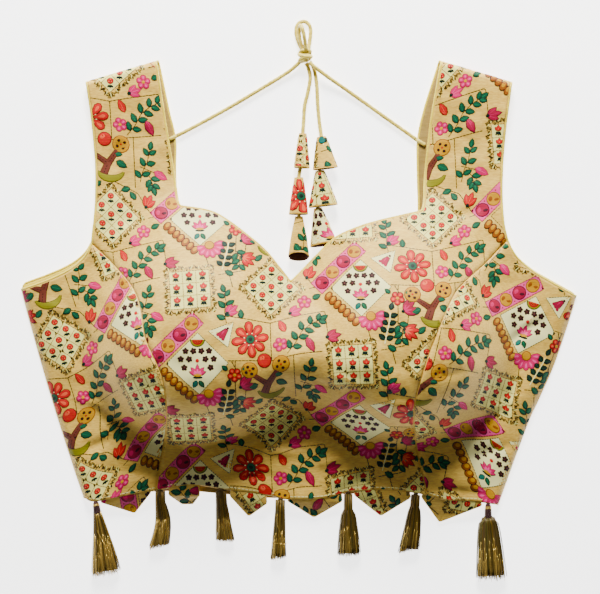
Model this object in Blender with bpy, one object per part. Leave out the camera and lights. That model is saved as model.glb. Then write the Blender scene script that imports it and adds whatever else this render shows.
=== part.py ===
"""Choli blouse laid flat with its front up.

A cropped sleeveless blouse: a centre front with two straps, two side fronts,
two back halves with straps and a low scooped neck, satin piping round the
neck and armholes, folded triangles and thread tassels along the hem, and a
satin tube tie knotted in a small bow, with two three-tier cone tassels.

The back lies flat on Z = 0, the front lies on it, and the padded cups dome
up. +X is the wearer's left, +Y runs up towards the shoulders. Sizes in the
tables are millimetres; meshes are made in metres.
"""
import math

import bmesh
import bpy
from mathutils import Vector

MM = 0.001

# Walls and gaps
FRONT_THICKNESS = 2.4
BACK_THICKNESS = 1.8
SEAM_GAP = 0.3
PIPING_RADIUS = 1.1
PIPING_END_TRIM = 0.25
PIPING_FLOOR_GAP = 0.05
SHORTEST_PIPING_STEP = 1.0
CORD_RADIUS = 1.65

# Half widths, lengths and levels that the outline tables are drawn around
SHOULDER_OUTER_X = 177.6
SHOULDER_OUTER_Y = 198.8
SHOULDER_SLOPE = 0.298
SHOULDER_FOLD_RADIUS = 4.6
FOLD_SEAM_HALF_ANGLE = math.radians(2.0)

# Height of the front's outer face above the surface
REST_HEIGHT = 4.9
BODY_LOFT = 4.4
SIDE_ROLL_WIDTH = 13.0
BODY_LOFT_START_Y = 125.0
BODY_LOFT_FULL_Y = 65.0
STRAP_LIFT_LENGTH = 62.0

# Padded cups: height over the body, centre, and reach in each direction
CUP_HEIGHT = 54.0
CUP_CENTRE_X = 88.0
CUP_CENTRE_Y = -22.0
CUP_REACH_OUT = 104.0
CUP_REACH_IN = 119.0
CUP_REACH_UP = 152.0
CUP_REACH_DOWN = 92.0
CUP_CURVE_UP = 1.15
CUP_CURVE_DOWN = 1.95
BRIDGE_HEIGHT = 8.0
BRIDGE_CENTRE_Y = -34.0
BRIDGE_REACH_X = 80.0
BRIDGE_REACH_Y = 62.0

# Largest folds of the front: a line from start to end, how wide, how high
# start x, start y, end x, end y, half width, height (troughs are negative)
FRONT_FOLDS = (
    (-152.0, -107.0, -112.0, -116.0, 9.0, 3.0),
    (-88.0, -122.0, -28.0, -118.0, 8.0, 3.2),
    (-78.0, -104.0, 10.0, -99.0, 7.0, -2.4),
    (34.0, -146.0, 74.0, -118.0, 6.5, -3.4),
    (92.0, -124.0, 150.0, -134.0, 9.0, 2.6),
    (58.0, -56.0, 92.0, -62.0, 5.0, -1.6),
    (-172.0, 48.0, -142.0, 22.0, 9.0, -2.4),
    (182.0, 34.0, 150.0, 20.0, 9.0, -2.4),
    (176.0, -84.0, 204.0, -46.0, 8.0, 2.6),
    (-204.0, -20.0, -176.0, -66.0, 9.0, 1.8),
)

# Outline points: x, y
LEFT_STRAP_OUTER = ((-173.8, 64.6), (-171.2, 92.0), (-170.4, 126.7), (-173.0, 163.0), (-177.6, 198.8))
LEFT_STRAP_INNER = ((-100.7, 96.9), (-103.3, 104.0), (-107.5, 130.0), (-114.4, 173.0), (-120.7, 215.8))
RIGHT_STRAP_OUTER = ((176.0, 67.5), (172.1, 86.0), (171.3, 118.2), (173.6, 157.0), (178.5, 198.6))
RIGHT_STRAP_INNER = ((105.0, 92.7), (107.3, 102.0), (108.4, 126.7), (114.0, 174.0), (121.1, 215.6))
NECKLINE_LEFT = ((-100.7, 96.9), (-75.2, 92.7), (-61.6, 85.9), (-42.1, 71.4), (-25.9, 57.0),
                 (-13.2, 41.0), (-6.4, 32.3))
NECKLINE_RIGHT = ((-6.4, 32.3), (1.3, 40.0), (17.4, 57.0), (33.6, 71.4), (58.2, 81.4), (82.9, 87.7),
                  (105.0, 92.7))
LEFT_ARMHOLE = ((-173.8, 64.6), (-180.5, 53.0), (-193.0, 42.5), (-212.0, 33.5), (-235.0, 25.5))
RIGHT_ARMHOLE = ((176.0, 67.5), (183.0, 54.5), (197.0, 41.7), (212.9, 32.3), (235.4, 19.8))
LEFT_PRINCESS = ((-173.8, 64.6), (-157.2, 49.3), (-138.2, 28.9), (-130.4, 12.0), (-125.0, -14.0),
                 (-112.0, -44.0), (-108.6, -76.0), (-115.4, -112.0), (-120.3, -143.2))
RIGHT_PRINCESS = ((176.0, 67.5), (156.8, 48.4), (139.4, 34.0), (127.1, 20.0), (113.0, -10.0),
                  (102.0, -40.0), (95.0, -72.0), (100.0, -108.0), (109.0, -147.0))
LEFT_SIDE = ((-235.0, 25.5), (-210.5, -61.0), (-182.3, -149.6))
RIGHT_SIDE = ((235.4, 19.8), (217.2, -34.9), (196.4, -83.6), (169.6, -155.6))
FRONT_HEM = ((-182.3, -149.6), (-172.1, -152.4), (-141.5, -146.4), (-118.6, -142.6), (-91.4, -138.2),
             (-61.6, -142.0), (-22.5, -147.4), (-9.8, -150.3), (22.5, -149.6), (44.0, -143.7),
             (76.1, -142.6), (102.4, -145.6), (124.5, -150.8), (150.9, -152.4), (169.6, -155.6))
BACK_HEM = ((-182.3, -149.6), (-141.5, -147.0), (-91.4, -145.6), (-22.5, -151.4), (40.4, -148.0),
            (102.4, -147.0), (169.6, -155.6))
BACK_STRAP_INNER_LEFT = ((-98.0, 40.0), (-103.5, 84.0), (-105.6, 126.0), (-105.6, 154.0),
                         (-111.0, 178.0), (-119.0, 216.3))
BACK_STRAP_INNER_RIGHT = ((98.0, 40.0), (102.8, 84.0), (102.2, 126.0), (102.4, 154.0),
                          (108.0, 180.0), (119.4, 216.1))
BACK_NECK_LEFT = ((-98.0, 40.0), (-86.0, 2.0), (-62.0, -30.0), (-32.0, -46.0), (0.0, -50.0))
BACK_NECK_RIGHT = ((98.0, 40.0), (86.0, 2.0), (62.0, -30.0), (32.0, -46.0), (0.0, -50.0))

# How far the back's armhole edge shows above the front's, and its share where the strap starts
BACK_ARMHOLE_SHIFT_LEFT = 4.4
BACK_ARMHOLE_SHIFT_RIGHT = 1.2
STRAP_SHIFT_SHARE = 0.8

# Mesh divisions
CURVE_STEPS = 24
HEM_STEPS = 120
CORD_STEPS = 60
SLOPE_STEP = 0.4
BODY_ROWS = 20
SIDE_COLUMNS = 8
STRAP_COLUMNS = 7
NECK_COLUMNS = 8
STRAP_ROWS = 11
FOLD_ROWS = 4
BACK_ROWS = 5
BACK_ARMHOLE_COLUMNS = 4
BACK_NECK_COLUMNS = 6
BACK_STRAP_ROWS = 9

# Hem triangles: left root x, left notch x, y, tip x, y, right notch x, y, right root x, tip width
HEM_TRIANGLES = (
    (-166.0, -167.0, -153.6, -139.8, -162.4, -125.4, -145.6, -124.0, 2.0),
    (-109.0, -109.7, -147.0, -94.4, -155.2, -83.7, -147.2, -84.5, 9.0),
    (-57.0, -58.0, -148.0, -42.1, -164.8, -26.8, -154.3, -27.5, 2.0),
    (-8.0, -9.0, -152.4, 13.2, -166.0, 37.0, -152.6, 36.0, 2.0),
    (48.5, 47.2, -147.4, 70.1, -164.6, 94.8, -149.6, 93.5, 2.0),
    (105.5, 104.1, -149.0, 120.3, -170.0, 155.1, -156.4, 154.0, 2.0),
)
TRIANGLE_THICKNESS = 1.6
TRIANGLE_GAP = 0.6
TRIANGLE_FLOOR_GAP = 0.6
TRIANGLE_CROWN = 1.2
TRIANGLE_ROOT_SHARE = 0.25
TRIANGLE_ROWS = 4
TRIANGLE_COLUMNS = 4

# Thread tassels: root x, head x, y, left end x, y, right end x, y, depth at the ends
HEM_TASSELS = (
    (-171.8, -170.4, -162.9, -173.8, -217.4, -151.4, -213.2, 8.0),
    (-117.0, -117.2, -153.0, -126.4, -193.6, -110.4, -190.2, 7.0),
    (-65.6, -65.1, -155.0, -68.8, -187.0, -55.0, -187.0, 7.0),
    (-15.2, -15.4, -161.4, -22.8, -203.0, -11.2, -201.0, 7.0),
    (42.2, 42.3, -159.4, 34.0, -199.6, 52.0, -199.0, 8.0),
    (99.4, 98.6, -156.9, 85.0, -197.4, 101.6, -193.2, 7.0),
    (160.4, 161.1, -171.2, 152.0, -219.6, 175.2, -219.0, 9.0),
)
TASSEL_NECK_RADIUS = 2.3
TASSEL_NECK_PROFILE = ((0.0, 0.55), (0.35, 1.0), (1.0, 0.85))  # share of its length, share of its radius
TASSEL_HEAD_RADIUS = 3.4
TASSEL_HEAD_DROP = 2.2
TASSEL_FLOOR_GAP = 0.6
TASSEL_ROOT_GAP = 0.5
TASSEL_GRID = (5, 2)
STRAND_PROFILE = ((0.0, 0.72), (0.5, 0.8), (1.0, 0.5))  # share of its length, share of its root's size
STRAND_FLOOR_GAP = 0.35
STRAND_SPREAD = 1.15
STRAND_UNEVENNESS = 1.6
STRAND_TURN = 2.4

# Tie routes: x, y, z of the middle of the satin tube
DORI_RUN_LEFT = ((-102.8, 157.6, 1.8), (-97.0, 160.4, 1.8), (-80.0, 169.4, 1.75), (-58.0, 181.6, 1.75),
                 (-36.0, 194.6, 1.8), (-16.0, 206.6, 2.2), (-6.0, 213.2, 3.2), (1.5, 219.9, 4.6))
DORI_RUN_RIGHT = ((99.2, 154.6, 1.8), (93.4, 158.8, 1.8), (73.5, 172.9, 1.75), (56.0, 185.4, 1.8),
                  (42.0, 195.2, 2.6), (29.0, 204.0, 4.6), (18.6, 211.4, 6.3), (9.0, 219.0, 6.4))
DORI_LOOP_OUTER = ((8.4, 229.6, 3.1), (9.6, 238.3, 1.8), (10.4, 245.7, 1.75), (9.4, 250.8, 1.75),
                   (6.2, 253.9, 1.75), (2.2, 253.9, 1.75), (-1.2, 250.6, 1.75), (-2.0, 244.8, 1.75),
                   (-0.2, 237.2, 1.8), (3.0, 229.8, 3.0))
DORI_LOOP_INNER = ((3.7, 230.3, 6.2), (1.6, 236.6, 6.0), (0.6, 243.0, 6.0), (0.8, 247.8, 7.4),
                   (1.8, 249.6, 10.6), (3.0, 247.4, 13.6), (4.4, 242.0, 13.9), (5.4, 236.4, 12.0),
                   (6.4, 229.6, 9.4))
DORI_TAIL_LEFT = ((6.5, 218.9, 2.1), (8.6, 214.0, 1.75), (9.9, 205.8, 1.75), (7.8, 193.5, 1.75),
                  (5.2, 182.4, 1.8), (4.4, 170.0, 2.4), (3.6, 159.0, 3.4), (3.0, 146.0, 4.4),
                  (1.8, 132.0, 4.4), (0.3, 121.6, 4.1), (0.2, 106.0, 4.5), (0.3, 95.0, 4.4),
                  (0.4, 84.5, 4.5))
DORI_TAIL_RIGHT = ((9.6, 220.2, 2.3), (12.6, 215.6, 1.75), (14.4, 209.0, 1.75), (15.6, 199.0, 1.75),
                   (16.4, 183.1, 1.75), (17.8, 168.0, 2.4), (19.4, 156.0, 3.9), (20.0, 142.0, 4.5),
                   (18.2, 127.4, 4.7), (18.0, 112.0, 4.8), (16.4, 95.8, 4.7), (16.5, 87.0, 4.9))
CORD_POINT_SPACING = 7.5
KNOT_CENTRE = (5.6, 224.4, 5.4)
KNOT_RADII = (6.2, 5.8, 5.0)
KNOT_WAIST_DEPTH = 0.10
KNOT_WAIST_WIDTH = 0.25

# Cone tassels: name, top x, y, z, end x, y, z, top width, end width, end depth, mouth slant
LATKANS = (
    ("latkan_left_1", 3.6, 159.0, 3.4, 2.4, 130.0, 4.9, 6.6, 13.6, 9.0, 0.0),
    ("latkan_left_2", 0.3, 121.6, 4.1, 0.3, 90.4, 5.2, 7.6, 16.2, 9.6, 0.0),
    ("latkan_left_3", 0.3, 88.6, 4.4, 0.2, 58.4, 5.4, 6.6, 18.2, 9.8, 7.0),
    ("latkan_right_1", 19.4, 156.0, 3.9, 22.6, 129.2, 5.8, 8.0, 21.0, 10.0, 0.0),
    ("latkan_right_2", 18.2, 127.4, 4.7, 21.6, 97.6, 5.6, 7.6, 25.0, 10.4, 0.0),
    ("latkan_right_3", 16.4, 95.8, 4.7, 21.8, 66.0, 5.6, 6.6, 23.0, 10.4, 2.0),
)
LATKAN_SIDES = 12
LATKAN_WALL = 1.1
LATKAN_HOLE_RADIUS = CORD_RADIUS + SEAM_GAP + 0.15
LATKAN_TOP_RIM = 0.5
LATKAN_TOP_FLATTENING = 0.3

# Middle of a cone's outer face: share of the top width, share of the end width or depth
LATKAN_MIDDLE_WIDTH = (0.27, 0.25)
LATKAN_MIDDLE_DEPTH = (0.20, 0.27)

# Top of a cone's hollow: how far down, share of the end width, share of the end depth
LATKAN_HOLLOW_TOP = (3.0, 0.19, 0.26)
LATKAN_HOLLOW_START_SHARE = 0.12

# Hooks across the centre back: y of each
HOOK_ROWS = (-62.0, -86.0, -110.0, -134.0)
HOOK_SIZE = (9.0, 3.2, 0.9)

# Colours: red, green, blue, then roughness
PRINTED_SILK = ((0.72, 0.56, 0.36), 0.45)
SATIN = ((0.90, 0.77, 0.52), 0.32)
GOLD_THREAD = ((0.20, 0.13, 0.03), 0.38)
HOOK_METAL = ((0.55, 0.55, 0.53), 0.30)


def clear_scene():
    for item in list(bpy.data.objects):
        bpy.data.objects.remove(item, do_unlink=True)


def make_material(name, finish, metallic=0.0):
    colour, roughness = finish
    material = bpy.data.materials.new(name)
    material.use_nodes = True
    shader = material.node_tree.nodes["Principled BSDF"]
    shader.inputs["Base Color"].default_value = (*colour, 1.0)
    shader.inputs["Roughness"].default_value = roughness
    shader.inputs["Metallic"].default_value = metallic
    return material


def add_object(name, mesh, material):
    mesh.materials.append(material)
    piece = bpy.data.objects.new(name, mesh)
    bpy.context.scene.collection.objects.link(piece)
    return piece


# ---------------------------------------------------------------- curves

def smooth_path(knots, count):
    """count + 1 points evenly spaced along a smooth curve through the knots."""
    points = [Vector(knot) for knot in knots]
    ends = [2 * points[0] - points[1]] + points + [2 * points[-1] - points[-2]]
    fine = []
    for before, start, end, after in zip(ends, ends[1:], ends[2:], ends[3:]):
        for step in range(CURVE_STEPS):
            t = step / CURVE_STEPS
            fine.append(0.5 * (2 * start + (end - before) * t
                               + (2 * before - 5 * start + 4 * end - after) * t ** 2
                               + (3 * start - before - 3 * end + after) * t ** 3))
    fine.append(points[-1])
    return resample(fine, count)


def resample(points, count):
    lengths = [0.0]
    for start, end in zip(points, points[1:]):
        lengths.append(lengths[-1] + (end - start).length)
    result = []
    place = 0
    for number in range(count + 1):
        target = lengths[-1] * number / count
        while place < len(points) - 2 and lengths[place + 1] < target:
            place += 1
        span = lengths[place + 1] - lengths[place]
        share = (target - lengths[place]) / span if span else 0.0
        result.append(points[place].lerp(points[place + 1], min(1.0, share)))
    return result


def height_at(path, x):
    """y of a left-to-right path at x."""
    for start, end in zip(path, path[1:]):
        if start.x <= x <= end.x:
            return start.y + (end.y - start.y) * (x - start.x) / (end.x - start.x)
    return path[0].y if x < path[0].x else path[-1].y


def beside(path, distance):
    """The path moved sideways, to its right where distance is positive."""
    moved = []
    for number, point in enumerate(path):
        ahead = path[min(number + 1, len(path) - 1)]
        behind = path[max(number - 1, 0)]
        along = (ahead - behind).normalized()
        moved.append(point + Vector((along.y, -along.x)) * distance)
    return moved


def smooth_step(low, high, value):
    share = min(1.0, max(0.0, (value - low) / (high - low)))
    return share * share * (3 - 2 * share)


# ---------------------------------------------------- form of the front

def cup_height(x, y, side):
    """One padded cup: full above, then steep under the bust."""
    across = (x - side * CUP_CENTRE_X) * side
    along = y - CUP_CENTRE_Y
    across /= CUP_REACH_OUT if across > 0 else CUP_REACH_IN
    along /= CUP_REACH_UP if along > 0 else CUP_REACH_DOWN
    radius = math.hypot(across, along)
    if radius >= 1.0:
        return 0.0
    upward = 0.5 + 0.5 * along / radius if radius else 0.5
    power = CUP_CURVE_DOWN + (CUP_CURVE_UP - CUP_CURVE_DOWN) * upward
    return CUP_HEIGHT * math.cos(math.pi / 2 * radius ** power) ** 2


def bridge_height(x, y):
    """The cloth stretched between the cups."""
    radius = math.hypot(x / BRIDGE_REACH_X, (y - BRIDGE_CENTRE_Y) / BRIDGE_REACH_Y)
    return BRIDGE_HEIGHT * math.cos(math.pi / 2 * min(1.0, radius)) ** 2


def fold_height(x, y, fold):
    start_x, start_y, end_x, end_y, width, height = fold
    run = Vector((end_x - start_x, end_y - start_y))
    offset = Vector((x - start_x, y - start_y))
    share = min(1.0, max(0.0, offset.dot(run) / run.length_squared))
    distance = (offset - run * share).length
    taper = 0.35 + 0.65 * math.sin(math.pi * share)
    return height * taper * math.exp(-(distance / width) ** 2)


def side_distance(x, y):
    """How far a point lies inside the nearer side seam."""
    outline = LEFT_SIDE if x < 0 else RIGHT_SIDE
    run = Vector(outline[-1]) - Vector(outline[0])
    offset = Vector((x, y)) - Vector(outline[0])
    return max(0.0, abs(run.x * offset.y - run.y * offset.x) / run.length)


def shoulder_distance(x, y):
    """How far a point lies below the shoulder line."""
    shoulder_y = SHOULDER_OUTER_Y + (SHOULDER_OUTER_X - abs(x)) * SHOULDER_SLOPE
    return (shoulder_y - y) / math.hypot(1.0, SHOULDER_SLOPE)


def front_height(x, y):
    """Height of the front's outer face above the surface."""
    body = 1.0 - smooth_step(BODY_LOFT_FULL_Y, BODY_LOFT_START_Y, y)
    roll = 1.0 - math.exp(-side_distance(x, y) / SIDE_ROLL_WIDTH)
    height = REST_HEIGHT + BODY_LOFT * body * roll
    height += cup_height(x, y, -1) + cup_height(x, y, 1) + bridge_height(x, y)
    height += roll * sum(fold_height(x, y, fold) for fold in FRONT_FOLDS)
    if y > BODY_LOFT_FULL_Y:
        lift = 1.0 - smooth_step(0.0, STRAP_LIFT_LENGTH, shoulder_distance(x, y))
        height += lift * (2 * SHOULDER_FOLD_RADIUS - REST_HEIGHT)
    return height


def front_point(flat):
    """A point of the front's outer face and its outward direction."""
    x, y = flat.x, flat.y
    slope_x = (front_height(x + SLOPE_STEP, y) - front_height(x - SLOPE_STEP, y)) / (2 * SLOPE_STEP)
    slope_y = (front_height(x, y + SLOPE_STEP) - front_height(x, y - SLOPE_STEP)) / (2 * SLOPE_STEP)
    normal = Vector((-slope_x, -slope_y, 1.0)).normalized()
    return Vector((x, y, front_height(x, y))), normal


def back_point(flat):
    """A point of the back's outer face, which lies on the surface."""
    return Vector((flat.x, flat.y, 0.0)), Vector((0.0, 0.0, -1.0))


# --------------------------------------------------------------- walls

class Wall:
    """A cloth wall: an outer face of points with their outward directions."""

    def __init__(self, thickness):
        self.thickness = thickness
        self.points = []
        self.normals = []
        self.faces = []

    def add(self, place):
        point, normal = place
        self.points.append(point)
        self.normals.append(normal)
        return len(self.points) - 1

    def add_rows(self, rows):
        """Join rows of point numbers with four-sided faces."""
        for upper, lower in zip(rows, rows[1:]):
            for number in range(len(upper) - 1):
                self.faces.append((upper[number], lower[number], lower[number + 1], upper[number + 1]))

    def edge_middle(self, number):
        return self.points[number] - self.normals[number] * (self.thickness / 2)

    def build(self, name, material):
        """Close the wall with an inner face and its edges."""
        count = len(self.points)
        inner = [point - normal * self.thickness for point, normal in zip(self.points, self.normals)]
        vertices = [tuple(point * MM) for point in self.points + inner]
        faces = list(self.faces)
        faces += [tuple(number + count for number in reversed(face)) for face in self.faces]
        edges = {}
        for face in self.faces:
            for start, end in zip(face, face[1:] + face[:1]):
                edges[(start, end)] = True
        for start, end in edges:
            if (end, start) in edges:
                continue
            if self.points[start].y > self.points[end].y:
                faces.append((end, start, start + count))
                faces.append((end, start + count, end + count))
            else:
                faces.append((start, start + count, end + count))
                faces.append((start, end + count, end))
        mesh = bpy.data.meshes.new(name)
        mesh.from_pydata(vertices, [], faces)
        close_outward(mesh)
        mesh.shade_smooth()
        mesh.set_sharp_from_angle(angle=math.radians(50))
        return add_object(name, mesh, material)


def close_outward(mesh):
    body = bmesh.new()
    body.from_mesh(mesh)
    bmesh.ops.recalc_face_normals(body, faces=body.faces)
    body.to_mesh(mesh)
    body.free()


def blend_patch(top, bottom, left, right, place, wall, top_row=None):
    """Rows of wall points filling four boundary paths, top row first."""
    columns = len(top) - 1
    row_count = len(left) - 1
    rows = []
    for row in range(row_count + 1):
        v = row / row_count
        left_pull = left[row] - left[0].lerp(left[-1], v)
        right_pull = right[row] - right[0].lerp(right[-1], v)
        numbers = []
        for column in range(columns + 1):
            if row == 0 and top_row:
                numbers.append(top_row[column])
                continue
            u = column / columns
            flat = top[column].lerp(bottom[column], v) + left_pull * (1 - u) + right_pull * u
            numbers.append(wall.add(place(flat)))
        rows.append(numbers)
    wall.add_rows(rows)
    return rows


def build_strap(name, base, outer, inner, wall, place, material):
    """A strap from just above its base line, up and round the shoulder fold.

    place gives the face that the strap lies in, and outer and inner are its
    edges, both from the base up. Returns its wall and its rows, base first.
    """
    facing = 1.0 if place is front_point else -1.0
    columns = len(base) - 1
    upward = SEAM_GAP if base[0].x > base[-1].x else -SEAM_GAP
    rows = [[wall.add(place(flat)) for flat in beside(base, upward)]]
    for start, end in list(zip(outer, inner))[1:]:
        rows.append([wall.add(place(start.lerp(end, column / columns))) for column in range(columns + 1)])
    along = (inner[-1] - outer[-1]).normalized()
    away = Vector((-along.y, along.x, 0.0))
    if away.y < 0:
        away = -away
    up = Vector((0.0, 0.0, 1.0)) * facing
    for fold in range(1, FOLD_ROWS + 1):
        angle = (math.pi / 2 - FOLD_SEAM_HALF_ANGLE) * fold / FOLD_ROWS
        numbers = []
        for column in range(columns + 1):
            flat = outer[-1].lerp(inner[-1], column / columns)
            centre = Vector((flat.x, flat.y, SHOULDER_FOLD_RADIUS))
            direction = away * math.sin(angle) + up * math.cos(angle)
            numbers.append(wall.add((centre + direction * SHOULDER_FOLD_RADIUS, direction)))
        rows.append(numbers)
    wall.add_rows(rows)
    orient_rows(wall)
    wall.build(name, material)
    return wall, rows


def columns_below(top, hem, first_x, last_x):
    """Hem points under a row of top points, spread in the same shares."""
    low, high = top[0].x, top[-1].x
    result = []
    for point in top:
        x = first_x + (last_x - first_x) * (point.x - low) / (high - low)
        result.append(Vector((x, height_at(hem, x))))
    return result


def build_front_centre(material):
    """The centre front and its straps; returns the walls with their edges."""
    wall = Wall(FRONT_THICKNESS)
    hem = smooth_path(FRONT_HEM, HEM_STEPS)
    left = beside(smooth_path(LEFT_PRINCESS, BODY_ROWS), -SEAM_GAP / 2)
    right = beside(smooth_path(RIGHT_PRINCESS, BODY_ROWS), SEAM_GAP / 2)
    left_base = resample([left[0], Vector(LEFT_STRAP_INNER[0])], STRAP_COLUMNS)
    right_base = resample([Vector(RIGHT_STRAP_INNER[0]), right[0]], STRAP_COLUMNS)
    neck_left = smooth_path(NECKLINE_LEFT, NECK_COLUMNS)
    neck_right = smooth_path(NECKLINE_RIGHT, NECK_COLUMNS)
    top = left_base + neck_left[1:] + neck_right[1:] + right_base[1:]
    bottom = columns_below(top, hem, left[-1].x, right[-1].x)
    left[-1].y = bottom[0].y
    right[-1].y = bottom[-1].y
    rows = blend_patch(top, bottom, left, right, front_point, wall)
    orient_rows(wall)
    wall.build("front_centre", material)
    left_strap, left_rows = build_strap(
        "front_strap_left", left_base, smooth_path(LEFT_STRAP_OUTER, STRAP_ROWS),
        smooth_path(LEFT_STRAP_INNER, STRAP_ROWS), Wall(FRONT_THICKNESS), front_point, material)
    right_strap, right_rows = build_strap(
        "front_strap_right", right_base, smooth_path(RIGHT_STRAP_INNER, STRAP_ROWS),
        smooth_path(RIGHT_STRAP_OUTER, STRAP_ROWS), Wall(FRONT_THICKNESS), front_point, material)
    return {
        "neck": [(left_strap, [row[-1] for row in reversed(left_rows)]),
                 (wall, rows[0][STRAP_COLUMNS:-STRAP_COLUMNS]),
                 (right_strap, [row[0] for row in right_rows])],
        "left_arm": (left_strap, [row[0] for row in reversed(left_rows)]),
        "right_arm": (right_strap, [row[-1] for row in reversed(right_rows)]),
        "hem": (wall, rows[-1]),
    }


def orient_rows(wall):
    """Give every face the winding that looks along its points' directions."""
    for number, face in enumerate(wall.faces):
        corners = [wall.points[index] for index in face]
        across = (corners[2] - corners[0]).cross(corners[3] - corners[1])
        facing = sum((wall.normals[index] for index in face), Vector((0.0, 0.0, 0.0)))
        if across.dot(facing) < 0:
            wall.faces[number] = tuple(reversed(face))


def build_front_side(name, side, material):
    wall = Wall(FRONT_THICKNESS)
    hem = smooth_path(FRONT_HEM, HEM_STEPS)
    princess = LEFT_PRINCESS if side < 0 else RIGHT_PRINCESS
    armhole = LEFT_ARMHOLE if side < 0 else RIGHT_ARMHOLE
    outline = LEFT_SIDE if side < 0 else RIGHT_SIDE
    seam = beside(smooth_path(princess, BODY_ROWS), -side * SEAM_GAP / 2)
    outer = smooth_path(outline, BODY_ROWS)
    top = smooth_path(armhole, SIDE_COLUMNS)
    top[0] = seam[0]
    bottom = columns_below(top, hem, seam[-1].x, outer[-1].x)
    seam[-1].y = bottom[0].y
    bottom[-1] = outer[-1]
    rows = blend_patch(top, bottom, seam, outer, front_point, wall)
    orient_rows(wall)
    wall.build(name, material)
    return {"arm": (wall, rows[0]), "hem": (wall, rows[-1])}


def build_back(side_name, side, material):
    """One back half and its strap, their outer faces on the surface."""
    wall = Wall(BACK_THICKNESS)
    hem = smooth_path(BACK_HEM, HEM_STEPS)
    armhole = LEFT_ARMHOLE if side < 0 else RIGHT_ARMHOLE
    strap_outer = LEFT_STRAP_OUTER if side < 0 else RIGHT_STRAP_OUTER
    strap_inner = BACK_STRAP_INNER_LEFT if side < 0 else BACK_STRAP_INNER_RIGHT
    neck = BACK_NECK_LEFT if side < 0 else BACK_NECK_RIGHT
    outline = LEFT_SIDE if side < 0 else RIGHT_SIDE
    shift = BACK_ARMHOLE_SHIFT_LEFT if side < 0 else BACK_ARMHOLE_SHIFT_RIGHT
    arm_path = smooth_path(armhole, BACK_ARMHOLE_COLUMNS)
    arm_path.reverse()
    last = len(arm_path) - 1
    for number, point in enumerate(arm_path[1:], 1):
        share = number / last
        point.y += shift * (math.cos(math.pi / 2 * share) + STRAP_SHIFT_SHARE * share)
    base = resample([arm_path[-1], Vector(strap_inner[0])], STRAP_COLUMNS)
    neck_path = smooth_path(neck, BACK_NECK_COLUMNS)
    neck_path[-1] = Vector((side * SEAM_GAP / 2, neck_path[-1].y))
    top = arm_path + base[1:] + neck_path[1:]
    bottom = columns_below(top, hem, outline[-1][0], side * SEAM_GAP / 2)
    outer = smooth_path(outline, BACK_ROWS)
    bottom[0] = outer[-1]
    centre = resample([top[-1], bottom[-1]], BACK_ROWS)
    rows = blend_patch(top, bottom, outer, centre, back_point, wall)
    orient_rows(wall)
    wall.build(f"back_{side_name}", material)
    strap_outer = (tuple(arm_path[-1]),) + strap_outer[1:]
    strap, strap_rows = build_strap(
        f"back_strap_{side_name}", base, smooth_path(strap_outer, BACK_STRAP_ROWS),
        smooth_path(strap_inner, BACK_STRAP_ROWS), Wall(BACK_THICKNESS), back_point, material)
    return {
        "arm": [(strap, [row[0] for row in reversed(strap_rows)]),
                (wall, rows[0][:BACK_ARMHOLE_COLUMNS + 1][::-1])],
        "neck": [(strap, [row[-1] for row in reversed(strap_rows)]),
                 (wall, rows[0][BACK_ARMHOLE_COLUMNS + STRAP_COLUMNS:])],
    }


# -------------------------------------------------------------- piping

def tube(name, points, radius, material, resolution):
    """A closed round tube along points in millimetres."""
    curve = bpy.data.curves.new(name, "CURVE")
    curve.dimensions = "3D"
    curve.bevel_depth = radius * MM
    curve.bevel_resolution = resolution
    curve.use_fill_caps = True
    spline = curve.splines.new("POLY")
    spline.points.add(len(points) - 1)
    for control, point in zip(spline.points, points):
        control.co = (*(point * MM), 1.0)
    curve.materials.append(material)
    piece = bpy.data.objects.new(name, curve)
    bpy.context.scene.collection.objects.link(piece)
    return piece


def edge_path(walls_and_numbers, side):
    """Middles of the walls' edges moved out by a piping's radius and its gap."""
    middles = []
    normals = []
    for wall, numbers in walls_and_numbers:
        for number in numbers:
            middle = wall.edge_middle(number)
            if middles and (middle - middles[-1]).length < SHORTEST_PIPING_STEP:
                continue
            middles.append(middle)
            normals.append(wall.normals[number])
    path = []
    for number, middle in enumerate(middles):
        before = middle - middles[max(number - 1, 0)]
        after = middles[min(number + 1, len(middles) - 1)] - middle
        before = before.normalized() if before.length else after.normalized()
        after = after.normalized() if after.length else before
        out = (before + after).cross(normals[number]).normalized() * side
        half_turn = math.sqrt(max(0.3, 0.5 + 0.5 * before.dot(after)))
        path.append(middle + out * (PIPING_RADIUS + SEAM_GAP) / half_turn)
    return path


def build_piping(name, walls_and_numbers, side, material):
    path = edge_path(walls_and_numbers, side)
    lowest = PIPING_RADIUS + PIPING_FLOOR_GAP
    for point in path:
        point.z = max(point.z, lowest)
    path[0] += (path[1] - path[0]).normalized() * PIPING_END_TRIM
    path[-1] += (path[-2] - path[-1]).normalized() * PIPING_END_TRIM
    return tube(name, path, PIPING_RADIUS, material, 1)


# -------------------------------------------------------- hem triangles

def hem_edge_line(walls_and_numbers):
    """The lowest line of the front's hem edge, left to right."""
    line = []
    for wall, numbers in walls_and_numbers:
        for number in numbers:
            outer = wall.points[number]
            inner = outer - wall.normals[number] * wall.thickness
            line.append(Vector((outer.x, min(outer.y, inner.y))))
    return sorted(line, key=lambda point: point.x)


def hem_middle_height(x, y):
    """Height of the middle of the front's wall near its hem."""
    return front_height(x, y) - FRONT_THICKNESS / 2


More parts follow.
